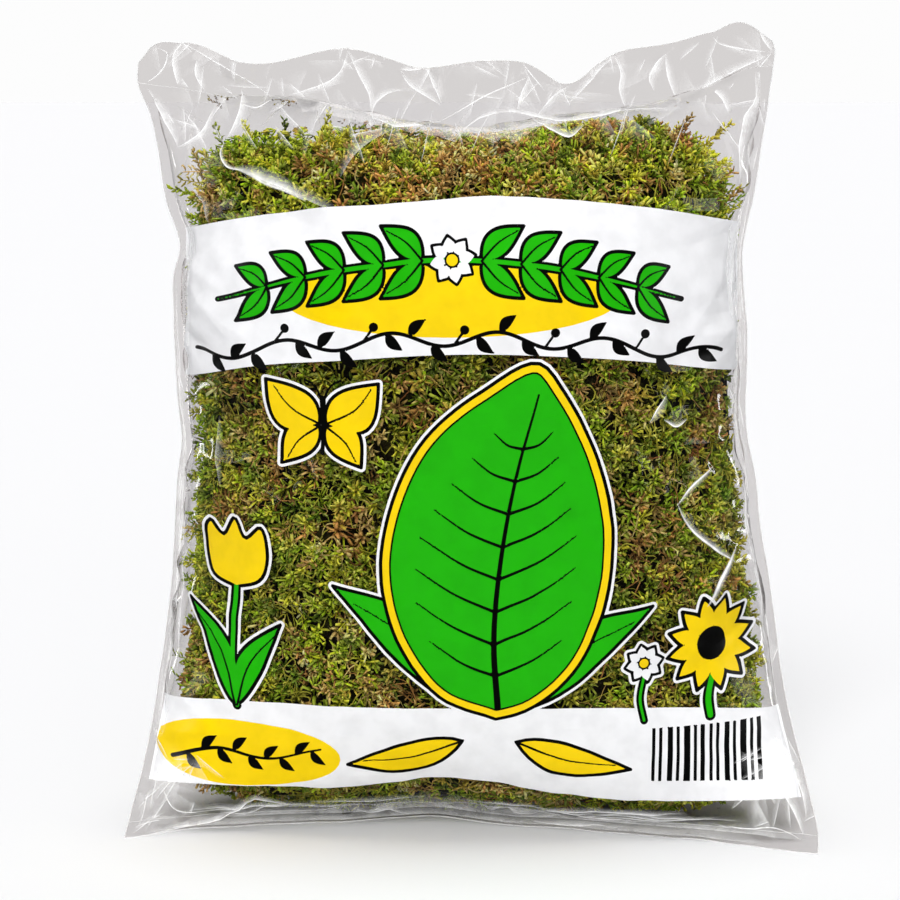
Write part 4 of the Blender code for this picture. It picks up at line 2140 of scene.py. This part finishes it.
def tubes_mesh(paths: Array, radii: Array, sides: int = 3) -> tuple[Array, Array]:
    """Tubes along many paths, closed at both ends.

    Each ring is a polygon square to the path, turned about a fixed vector so that the rings
    of a tube line up.

    Args:
        paths: Points of the paths, shaped (tubes, rings, 3).
        radii: Radius at each ring, shaped (tubes, rings).
        sides: Sides of each ring.

    Returns:
        Points shaped (tubes, rings times sides, 3), and the triangles of one tube.
    """
    count, rings = radii.shape
    way = unit(np.gradient(paths, axis=1))
    start = unit(paths[:, -1] - paths[:, 0])
    fixed = unit(np.cross(start, start[:, [1, 2, 0]] + 0.1))[:, None]
    across = unit(np.cross(way, fixed))
    upward = np.cross(way, across)
    angle = np.arange(sides) * 2 * np.pi / sides
    ring = across[:, :, None] * np.cos(angle)[:, None] + upward[:, :, None] * np.sin(angle)[:, None]
    points = paths[:, :, None] + ring * radii[:, :, None, None]
    last = sides * (rings - 1)
    faces = [(0, k + 1, k) for k in range(1, sides - 1)]
    faces += [(last, last + k, last + k + 1) for k in range(1, sides - 1)]
    for step in range(rings - 1):
        for k in range(sides):
            a, b = sides * step + k, sides * step + (k + 1) % sides
            faces += [(a, b, b + sides), (a, b + sides, a + sides)]
    return points.reshape(count, -1, 3), np.array(faces)


@dataclass
class Growth:
    """Meshes of moss that are gathered up and then made into pieces.

    slack says how far the film may press a leaf flat across, in depth and in height. A leaf
    that would be pressed further is left out.
    """

    room: Room
    margin: float = 1.5
    slack: tuple[float, float, float] = (0.9, 4.0, 1.2)
    points: list[Array] = field(default_factory=list)
    faces: list[Array] = field(default_factory=list)
    shades: list[Array] = field(default_factory=list)
    count: int = 0

    def add(
        self, points: Array, template: Array, shades: Array, seam: float, above: float
    ) -> None:
        """Adds many copies of a small mesh, held inside the film.

        Args:
            points: Points, shaped (copies, points of each, 3).
            template: Triangles of one copy.
            shades: Colours, shaped as the points are.
            seam: Least distance from the side edges.
            above: How far it may reach above the line where the moss is dense.
        """
        held = self.room.hold(points.reshape(-1, 3), self.margin, seam, above).reshape(points.shape)
        moved = np.abs(held - points).max(axis=1)
        kept = (moved <= self.slack).all(axis=1)
        held, shades = held[kept], shades[kept]
        self.faces.append(many(template, len(held), held.shape[1]) + self.count)
        self.points.append(held.reshape(-1, 3))
        self.shades.append(shades.reshape(-1, 3))
        self.count += held.shape[0] * held.shape[1]

    def piece(self, name: str, material: Material) -> Piece:
        """Makes one piece of all that was added.

        Args:
            name: Name of the piece.
            material: Its material.

        Returns:
            The piece.
        """
        points, faces = np.concatenate(self.points), np.concatenate(self.faces)
        shades = np.clip(np.concatenate(self.shades), 0, 1)
        piece = add_piece(name, points, faces, [material], shades=shades)
        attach(piece, BODY)
        return piece


@dataclass
class Shoots:
    """Leafy shoots of moss: sizes in millimetres, and colours from fresh green to straw.

    turn is the angle between a leaf and the next one round the stem: the golden angle for a
    bushy shoot, half a turn for a flat sprig. spread is how far the lowest leaves lean out, and
    closing how much less the topmost ones do, in degrees. showing turns a flat sprig's face to
    the front. tilt is the least and greatest angle of a stem to the way the moss faces, and
    stray the spread of a leaf's lean, in degrees. tones and leaf_tones are how dark or light a
    shoot and a leaf may be, and tufts how much that differs from tuft to tuft.
    """

    length: Span = (8.0, 15.0)
    leaves: int = 11
    leaf_length: Span = (4.2, 8.0)
    leaf_width: Span = (1.25, 2.05)
    turn: float = 2.39996
    spread: float = 80.0
    closing: float = 46.0
    showing: float = 0.0
    tilt: Span = (0.1, 1.2)
    first_leaf: float = 0.3
    greens: tuple[Colour, ...] = (
        linear(164, 188, 34), linear(132, 162, 26), linear(208, 206, 52), linear(92, 122, 20),
        linear(232, 218, 84),
    )
    mixture: tuple[float, ...] = (0.3, 0.25, 0.22, 0.13, 0.1)
    browns: tuple[Colour, ...] = (
        linear(212, 166, 96), linear(184, 132, 72), linear(236, 200, 122), linear(200, 172, 66),
    )
    # The pale tip colour and its share: partly young growth, partly painted highlights on the tips
    tip_light: Colour = linear(255, 250, 140)
    young_and_lit_tips: float = 0.38
    tones: Span = (0.72, 1.42)
    leaf_tones: Span = (0.6, 1.4)
    tufts: float = 0.26
    gain: float = 1.2
    stem_radii: Span = (0.5, 0.3)
    stem_shade: float = 0.7
    most_bow: float = 0.3
    stray: float = 10.0
    seam: float = 13.5
    above: float = 0.0

    def stems(self, chance: Chance, room: Room, root: Array, out: Array) -> tuple[Array, Array]:
        """The way and the bow of a stem at each root, short enough for the room there.

        A place at a share s of a stem is the root plus the way times s and the bow times s
        squared.

        Args:
            chance: Source of the random sizes.
            room: The room inside the film.
            root: Foot of each stem.
            out: Direction that the moss faces there.

        Returns:
            The ways and the bows, with their lengths in millimetres.
        """
        count = len(root)
        lean = unit(chance.normal(size=(count, 3)) + (0, 0, 0.25))
        lean = unit(lean - (lean * out).sum(1, keepdims=True) * out)
        tilt = chance.uniform(*self.tilt, (count, 1))
        way = unit(out * np.cos(tilt) + lean * np.sin(tilt))
        length = chance.uniform(*self.length, (count, 1))
        bow = unit(np.cross(way, chance.normal(size=(count, 3)))) * length
        bow = bow * chance.uniform(0, self.most_bow, (count, 1))
        tip = root + way * length + bow
        over = tip - room.hold(tip, 2.2, self.seam, self.above - 1)
        over = np.linalg.norm(over, axis=1, keepdims=True)
        room_left = np.clip(1 - over / length, 0.4, 1)
        return way * length * room_left, bow * room_left

    def grow(self, growth: Growth, root: Array, out: Array, dry: Array, seed: int) -> None:
        """Grows one shoot at each root: a bent stem with leaves set round it.

        Args:
            growth: Where the meshes go.
            root: Foot of each shoot.
            out: Direction that the moss faces there.
            dry: Chance that a shoot is brown.
            seed: Seed of its random sizes.
        """
        chance = np.random.default_rng(seed)
        count, number = len(root), self.leaves
        way, bow = self.stems(chance, growth.room, root, out)
        brown = chance.uniform(size=count) < dry
        colour = np.where(
            brown[:, None],
            np.array(self.browns)[chance.integers(0, len(self.browns), count)],
            np.array(self.greens)[chance.choice(len(self.greens), count, p=self.mixture)],
        ) * chance.uniform(*self.tones, (count, 1))
        colour = colour * (1 + ripples(root, 38, 10, 7)[:, None] * (0.06, 0.1, 0.04))
        z = root[:, 2:]
        # Painted light: paler towards the top, as if lit from above, and near the foot to lift its shade
        colour = colour * (self.gain + 0.45 * ease((z - 255) / 50) + 0.5 * ease((36 - z) / 22))
        colour = colour * np.clip(1 + self.tufts * ripples(root, 17, 12, 8), 0.5, 1.6)[:, None]
        share = np.linspace(0, 1, 5)[:, None]
        stem = root[:, None] + way[:, None] * share + bow[:, None] * share**2
        radii = np.broadcast_to(np.linspace(*self.stem_radii, 5), (count, 5))
        points, template = tubes_mesh(stem, radii)
        shades = np.broadcast_to(colour[:, None] * self.stem_shade, points.shape)
        growth.add(points, template, shades, self.seam, self.above)
        place = np.linspace(self.first_leaf, 1.0, number)[None, :, None]
        foot = root[:, None] + way[:, None] * place + bow[:, None] * place**2
        axis = unit(way[:, None] + 2 * bow[:, None] * place)
        square = unit(chance.normal(size=(count, 1, 3))) * (1 - self.showing)
        u = unit(np.cross(axis, square + (0, self.showing, 0)))
        v = np.cross(axis, u)
        turn = np.arange(number)[None, :, None] * self.turn
        if not self.showing:
            turn = turn + chance.uniform(0, 6.28, (count, 1, 1))
        ray = u * np.cos(turn) + v * np.sin(turn)
        spread = chance.normal(0, self.stray, (count, number, 1))
        spread = np.radians(self.spread - self.closing * place**2 + spread)
        size = chance.uniform(*self.leaf_length, (count, number, 1)) * (1.1 - 0.3 * place)
        tip = foot + (axis * np.cos(spread) + ray * np.sin(spread)) * size
        curl = axis * chance.normal(0.13, 0.2, size.shape) - ray * chance.normal(0, 0.12, size.shape)
        side = unit(np.cross(axis, ray) + 0.4 * chance.normal(size=tip.shape))
        width = chance.uniform(*self.leaf_width, (count, number))
        flat = [a.reshape(-1, 3) for a in (foot, tip, curl * size, side)]
        points = leaves_mesh(*flat, width.ravel())
        each = np.repeat(colour, number, axis=0)
        each = each * chance.uniform(*self.leaf_tones, (count * number, 1))
        young_and_lit_tips = np.clip(chance.normal(self.young_and_lit_tips, 0.2, (count * number, 1)), 0, 0.75)
        young_and_lit_tips = young_and_lit_tips * np.where(np.repeat(brown, number)[:, None], 0.55, 1.0)
        light = each * (1 - young_and_lit_tips) + np.array(self.tip_light) * young_and_lit_tips
        # Painted shade at the leaf's root and keel, painted light at its rims, partly at its tip
        rim = each * 0.8 + light * 0.2
        far = each * 0.45 + light * 0.55
        rows = [each * 0.15, rim * 0.85, rim * 0.85, each * 0.4, far, far, each * 0.8, light]
        shades = np.stack(rows, axis=1)
        growth.add(points, LEAF_FACES, shades, self.seam - 1.5, self.above + 1)


@dataclass
class Strands:
    """Thin bare stems that wander over the moss, straw, brown and yellow-green."""

    length: Span = (6.0, 17.0)
    radius: Span = (0.3, 0.52)
    rings: int = 9
    bend: float = 0.42
    curl: float = 0.26
    arch: float = 0.24
    seam: float = 12.0
    above: float = 2.0
    colours: tuple[Colour, ...] = (
        linear(222, 186, 108), linear(194, 140, 78), linear(196, 192, 70), linear(156, 104, 60),
        linear(236, 214, 132),
    )

    def grow(self, growth: Growth, root: Array, out: Array, dry: Array, seed: int) -> None:
        """Lays one strand at each root: a line along the skin that bends and curls.

        Args:
            growth: Where the meshes go.
            root: Middle of each strand.
            out: Direction that the moss faces there.
            dry: Chance that moss there is brown. Green strands lie where it is small.
            seed: Seed of its random bends.
        """
        chance = np.random.default_rng(seed)
        count = len(root)
        along = unit(np.cross(out, chance.normal(size=(count, 3))))
        over = np.cross(out, along)
        length = chance.uniform(*self.length, (count, 1, 1))
        share = np.linspace(-0.5, 0.5, self.rings)[None, :, None]
        bend = chance.normal(0, self.bend, (count, 1, 1)) * (share * 2) ** 2
        phase = chance.uniform(0, 6, (count, 1, 1))
        bend = bend + chance.normal(0, self.curl, (count, 1, 1)) * np.sin(share * 11 + phase)
        arch = chance.uniform(0, self.arch, (count, 1, 1)) * (0.25 - share**2) * 4 - 0.08
        path = root[:, None] + length * (
            along[:, None] * share + over[:, None] * bend + out[:, None] * arch
        )
        radii = chance.uniform(*self.radius, (count, 1)) * np.linspace(1, 0.6, self.rings)
        points, template = tubes_mesh(path, radii)
        kind = chance.integers(0, len(self.colours), count)
        kind = np.where(chance.uniform(size=count) < dry + 0.25, kind, 2)
        colour = np.array(self.colours)[kind] * chance.uniform(0.8, 1.1, (count, 1))
        shades = np.broadcast_to(colour[:, None], points.shape)
        growth.add(points, template, shades, self.seam, self.above)


@dataclass
class MossCover:
    """All the shoots, sprigs and strands, shared out in pieces by where they grow."""

    clump: MossClump
    shoots: Shoots = field(default_factory=Shoots)
    strands: Strands = field(default_factory=Strands)
    sprigs: Shoots = field(default_factory=lambda: Shoots(
        length=(12.0, 23.0), leaves=13, leaf_length=(2.6, 5.2), leaf_width=(1.2, 1.8), seam=5.0,
        above=5.0, turn=np.pi, spread=62.0, closing=30.0, showing=0.72, tilt=(0.0, 0.75),
        first_leaf=0.2,
    ))
    single: Shoots = field(default_factory=lambda: Shoots(
        length=(14.0, 20.0), leaves=20, leaf_length=(2.4, 4.4), leaf_width=(1.3, 1.9),
        seam=3.5, above=60.0, spread=58.0, closing=24.0, tilt=(0.0, 0.15), first_leaf=0.1,
    ))
    crumbs: Strands = field(default_factory=lambda: Strands(
        length=(0.5, 1.6), radius=(0.2, 0.42), rings=3, seam=3.0, above=60.0,
        colours=(linear(96, 68, 44), linear(130, 94, 58), linear(166, 152, 58), linear(84, 58, 38),
                 linear(190, 150, 84)),
    ))
    root_depth: float = 8.0
    front_gap: float = 6.3
    rim_gap: float = 7.4
    back_gap: float = 10.0
    under_gap: float = 12.0
    hidden_gap: float = 14.0
    strand_share: float = 1.35
    strand_depth: float = 0.6
    sprig_depth: float = 6.5
    sprig_gap: float = 9.5
    rare_gap: float = 70.0
    standing: Sequence[tuple[float, float, float]] = (
        (-147, 315, -62), (-144, 302, -70), (-133, 331, -8), (-124, 341, -20), (-110, 346, -14),
        (-104, 343, 20), (-89, 347, 4), (-72, 351, 0), (-65, 344, 26), (-36, 350, 8), (12, 350, -6),
        (24, 351, 6), (68, 355, 8), (87, 352, 22), (110, 349, 44), (128, 344, 52), (127, 329, 60),
        (127, 322, 54), (135, 315, 48), (136, 303, 76), (-137, 205, -80), (-134, 190, -60),
        (132, 200, 70), (133, 150, 66), (134, 172, 58), (-139, 130, -72), (-146, 28, -120),
        (-130, 18, -150), (-119, 14, -168), (-101, 11, 175), (-77, 10, -170), (-69, 11, 160),
        (-31, 10, -165), (1, 11, 170), (26, 10, -172), (42, 10, 160), (54, 10, -160),
        (85, 10, 178), (102, 10, -165), (117, 10, 165), (126, 13, 150), (146, 22, 125),
    )
    standing_length: float = 17.5
    crumb_rows: Sequence[tuple[float, float, float, float]] = (
        (-125, 358, -113, 358), (-125, 358, -114, 358), (-101, 358, -86, 353), (-127, 356, -122, 353),
        (-101, 359, -86, 354), (-99, 358, -88, 354),
        (-66, 346, -40, 344), (50, 346, 66, 352), (80, 352, 110, 354), (-150, 40, -140, 30),
        (-130, 18, 130, 14), (-130, 18, 130, 14), (140, 60, 150, 30), (-140, 140, -138, 220),
    )
    crumb_count: int = 240
    dry_patches: Sequence[tuple[float, float, float, float]] = (
        (-5, 325, 30, 0.85), (55, 330, 18, 0.6), (-45, 345, 14, 0.7), (100, 335, 14, 0.5),
        (-50, 100, 24, 0.6), (-95, 205, 18, 0.5), (100, 150, 22, 0.5), (-70, 155, 18, 0.45),
        (120, 220, 12, 0.5), (40, 310, 14, 0.5), (-120, 90, 14, 0.5), (60, 12, 20, 0.6),
    )

    def spacing(self, at: Array, out: Array) -> Array:
        """Spacing of the shoots: close where the front shows them, wide behind the print.

        Args:
            at: Points, one to a row.
            out: Outward normals.

        Returns:
            The spacing at each point.
        """
        gap = np.full(len(at), self.back_gap)
        gap[(np.abs(out[:, 1]) < 0.75) | (at[:, 2] > 300)] = self.rim_gap
        gap[out[:, 1] < -0.2] = self.front_gap
        gap[self.clump.hidden(at, out)] = self.hidden_gap
        gap[out[:, 2] < -0.7] = self.under_gap
        return gap

    def dryness(self, at: Array) -> Array:
        """Chance that a shoot is brown: random patches, and the ones that the photo shows.

        Args:
            at: Points, one to a row.

        Returns:
            The chance at each point.
        """
        chance = 0.08 + 0.26 * ripples(at, 46, 12, 9)
        for x, z, size, most in self.dry_patches:
            away = np.hypot(at[:, 0] - x, at[:, 2] - z)
            chance = np.maximum(chance, most * np.exp(-((away / size) ** 2)))
        return np.clip(chance, 0.04, 0.9)

    def build(self) -> list[Piece]:
        """Grows the moss, each part of the clump as its own piece.

        Returns:
            The pieces.
        """
        material = MossLeaf().material("moss_leaf")
        rooted = self.clump.rooted

        def strand_spacing(at: Array, out: Array) -> Array:
            """Spacing of the strands."""
            return self.spacing(at, out) * self.strand_share

        kinds = (
            (self.shoots, self.root_depth, *rooted(self.spacing, 101)),
            (self.strands, self.strand_depth, *rooted(strand_spacing, 202)),
            (self.sprigs, self.sprig_depth, *rooted(self.rim_spacing, 303)),
            (self.single, 0.0, *self.standing_roots()),
        )
        shared = [self.regions(at, out) for _, _, at, out in kinds]
        pieces = []
        for number, name in enumerate(shared[0]):
            growth = Growth(self.clump.room)
            for (kind, depth, at, out), regions in zip(kinds, shared):
                mine = regions[name]
                at, out = at[mine], out[mine]
                if mine.any():
                    kind.grow(growth, at - out * depth, out, self.dryness(at), 300 + number)
            pieces.append(growth.piece(name, material))
        pieces.append(self.scatter_crumbs().piece("moss_crumbs", material))
        return pieces

    def standing_roots(self) -> tuple[Array, Array]:
        """Feet and ways of the single sprigs that stand out, from their tips and their leans.

        Returns:
            Feet and unit ways.
        """
        x, z, lean = np.array(self.standing, float).T
        room = self.clump.room
        low, high = room.look(room.front, x, z), room.look(room.back, x, z)
        deep = np.where(z < 60, 0.1, 0.35)
        way = np.column_stack([np.sin(np.radians(lean)), 0 * x, np.cos(np.radians(lean))])
        return np.column_stack([x, low + (high - low) * deep, z]) - way * self.standing_length, way

    def scatter_crumbs(self) -> Growth:
        """Crumbs of moss that lie in the film, strewn along short rows just behind the front.

        Returns:
            Their meshes.
        """
        chance = np.random.default_rng(77)
        rows = np.array(self.crumb_rows)[chance.integers(0, len(self.crumb_rows), self.crumb_count)]
        share = chance.uniform(size=(len(rows), 1))
        x, z = (rows[:, :2] * (1 - share) + rows[:, 2:] * share + chance.normal(0, 0.8, (len(rows), 2))).T
        room = self.clump.room
        growth = Growth(room, margin=0.5, slack=(9.0, 9.0, 9.0))
        root = np.column_stack([x, room.look(room.front, x, z) + 1.5, z])
        out = np.tile((0.0, -1.0, 0.0), (len(root), 1))
        self.crumbs.grow(growth, root, out, np.ones(len(root)), 78)
        return growth

    def rim_spacing(self, at: Array, out: Array) -> Array:
        """Spacing of the sprigs: round the clump's outline, and hardly any elsewhere.

        Args:
            at: Points, one to a row.
            out: Outward normals.

        Returns:
            The spacing at each point.
        """
        gap = np.full(len(at), self.rare_gap)
        gap[np.abs(out[:, 1]) < 0.6] = self.sprig_gap
        gap[(np.abs(out[:, 1]) < 0.8) & (at[:, 2] > 320)] = self.sprig_gap * 0.8
        return gap

    def regions(self, at: Array, out: Array) -> dict[str, Array]:
        """Which places belong to each piece of the moss.

        Args:
            at: Points, one to a row.
            out: Outward normals.

        Returns:
            A row of true and false for each piece.
        """
        front = out[:, 1] < -0.2
        back = (out[:, 1] > 0.5) & ~front
        rim = ~front & ~back
        high, left = at[:, 2] > 150, at[:, 0] < 0
        return {
            "moss_front_upper_left": front & high & left,
            "moss_front_upper_right": front & high & ~left,
            "moss_front_lower_left": front & ~high & left,
            "moss_front_lower_right": front & ~high & ~left,
            "moss_rim_left": rim & left,
            "moss_rim_right": rim & ~left,
            "moss_back_left": back & left,
            "moss_back_right": back & ~left,
        }


@dataclass(frozen=True)
class SoftBox:
    """A rectangle of light that only gloss shows, aimed at the middle of the bag.

    Its azimuth is counted from the front towards the right, and its elevation from level, in
    degrees. Sizes are in metres.
    """

    azimuth: float
    elevation: float
    width: float
    height: float
    radiance: float
    away: float = 1.7

    def add(self, name: str) -> None:
        """Adds the light. Its power is its radiance times its area times pi.

        Args:
            name: Name of the light.
        """
        turn, rise = np.radians((self.azimuth, self.elevation))
        place = np.array([np.sin(turn) * np.cos(rise), -np.cos(turn) * np.cos(rise), np.sin(rise)])
        light = bpy.data.lights.new(name, "AREA")
        light.shape = "RECTANGLE"
        light.size, light.size_y = self.width, self.height
        light.energy = self.radiance * self.width * self.height * np.pi
        lamp = bpy.data.objects.new(name, light)
        lamp.location = place * self.away + (0, 0, 0.2)
        lamp.rotation_euler = (np.pi / 2 - rise, 0, turn)
        lamp.visible_camera = False
        lamp.visible_diffuse = False
        bpy.context.scene.collection.objects.link(lamp)


@dataclass(frozen=True)
class Sun:
    """A soft sun that gloss doesn't show: elevation and azimuth in degrees, as a SoftBox's."""

    azimuth: float
    elevation: float
    strength: float
    angle: float = 34.0

    def add(self, name: str) -> None:
        """Adds the light.

        Args:
            name: Name of the light.
        """
        light = bpy.data.lights.new(name, "SUN")
        light.energy = self.strength
        light.angle = np.radians(self.angle)
        lamp = bpy.data.objects.new(name, light)
        lamp.rotation_euler = np.radians((90 - self.elevation, 0, self.azimuth))
        lamp.visible_glossy = False
        bpy.context.scene.collection.objects.link(lamp)


@dataclass
class Studio:
    """A plain pale floor, soft light, and the camera of the photograph."""

    camera_place: Colour = (-0.010, -1.46321, 0.44190)
    camera_pitch: float = 80.0
    lens: float = 120.0
    sensor: float = 36.0
    floor_reach: float = 6000.0
    ambient: float = 0.28
    mirrored: float = 0.06
    backdrop: float = 0.981
    suns: Sequence[Sun] = (Sun(180, 83, 1.6, 25.0), Sun(-10, 46, 1.6, 28.0), Sun(4, 8, 0.6, 60.0))
    boxes: Sequence[SoftBox] = (
        SoftBox(-82, 20, 0.6, 0.9, 2.4), SoftBox(82, 20, 0.6, 0.9, 2.4), SoftBox(180, 35, 1.0, 0.8, 3.0),
        SoftBox(-56, 10, 0.06, 0.8, 3.5), SoftBox(60, 12, 0.06, 0.8, 3.5),
        SoftBox(-120, 10, 0.1, 0.9, 7.5), SoftBox(120, 10, 0.1, 0.9, 7.5),
        SoftBox(160, 4, 0.1, 0.9, 9.0), SoftBox(-160, 4, 0.1, 0.9, 9.0),
    )

    def build(self) -> None:
        """Sets up the floor, the world, the lights and the camera."""
        self.add_floor()
        self.add_world()
        for number, light in enumerate((*self.suns, *self.boxes)):
            light.add(f"light_{number}")
        self.add_camera()

    def add_floor(self) -> None:
        """A wide flat floor at height 0, which gloss doesn't mirror."""
        line = np.linspace(-self.floor_reach, self.floor_reach, 9)
        x, y = np.meshgrid(line, line)
        faces = np.stack(cells(np.arange(x.size).reshape(x.shape)), -1).reshape(-1, 4)
        points = np.column_stack([x.ravel(), y.ravel(), np.zeros(x.size)])
        floor = add_piece("floor", points, faces, [PaleFloor().material("floor")])
        floor.visible_glossy = False

    def add_world(self) -> None:
        """White to the camera, dim in gloss, and a soft even light to everything else."""
        world = bpy.data.worlds.new("studio")
        bpy.context.scene.world = world
        world.use_nodes = True
        tree = world.node_tree
        path = tree.nodes.new("ShaderNodeLightPath")
        surface = None
        for strength, ray in (
            (self.ambient, ""), (self.mirrored, "Is Glossy Ray"), (self.backdrop, "Is Camera Ray")
        ):
            light = tree.nodes.new("ShaderNodeBackground")
            light.inputs["Color"].default_value = (1, 1, 1, 1)
            light.inputs["Strength"].default_value = strength
            source = light.outputs[0]
            if surface is not None:
                mix = tree.nodes.new("ShaderNodeMixShader")
                tree.links.new(path.outputs[ray], mix.inputs[0])
                tree.links.new(surface, mix.inputs[1])
                tree.links.new(source, mix.inputs[2])
                source = mix.outputs[0]
            surface = source
        tree.links.new(surface, tree.nodes["World Output"].inputs["Surface"])

    def add_camera(self) -> None:
        """The camera, level across and looking slightly down, as the photograph was taken."""
        camera = bpy.data.cameras.new("camera")
        camera.lens = self.lens
        camera.sensor_width = self.sensor
        rig = bpy.data.objects.new("camera", camera)
        rig.location = self.camera_place
        rig.rotation_euler = (np.radians(self.camera_pitch), 0, 0)
        bpy.context.scene.collection.objects.link(rig)
        scene = bpy.context.scene
        scene.camera = rig
        scene.view_settings.view_transform = "Standard"
        scene.cycles.transparent_max_bounces = 24


def main() -> None:
    """Builds the bag, the moss and the studio."""
    logging.basicConfig(level=logging.INFO, format="%(name)s: %(message)s")
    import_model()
    form = BagForm()
    artwork = Print(form)
    bag = Bag(form)
    pieces = bag.build(artwork)
    room = Room(bag)
    clump = MossClump(form, room, artwork)
    pieces.append(clump.build_bed())
    pieces += MossCover(clump).build()
    for piece in pieces:
        LOG.info("%s: %d triangles", piece.name, len(piece.data.polygons))
    Studio().build()


if __name__ == "__main__":
    main()
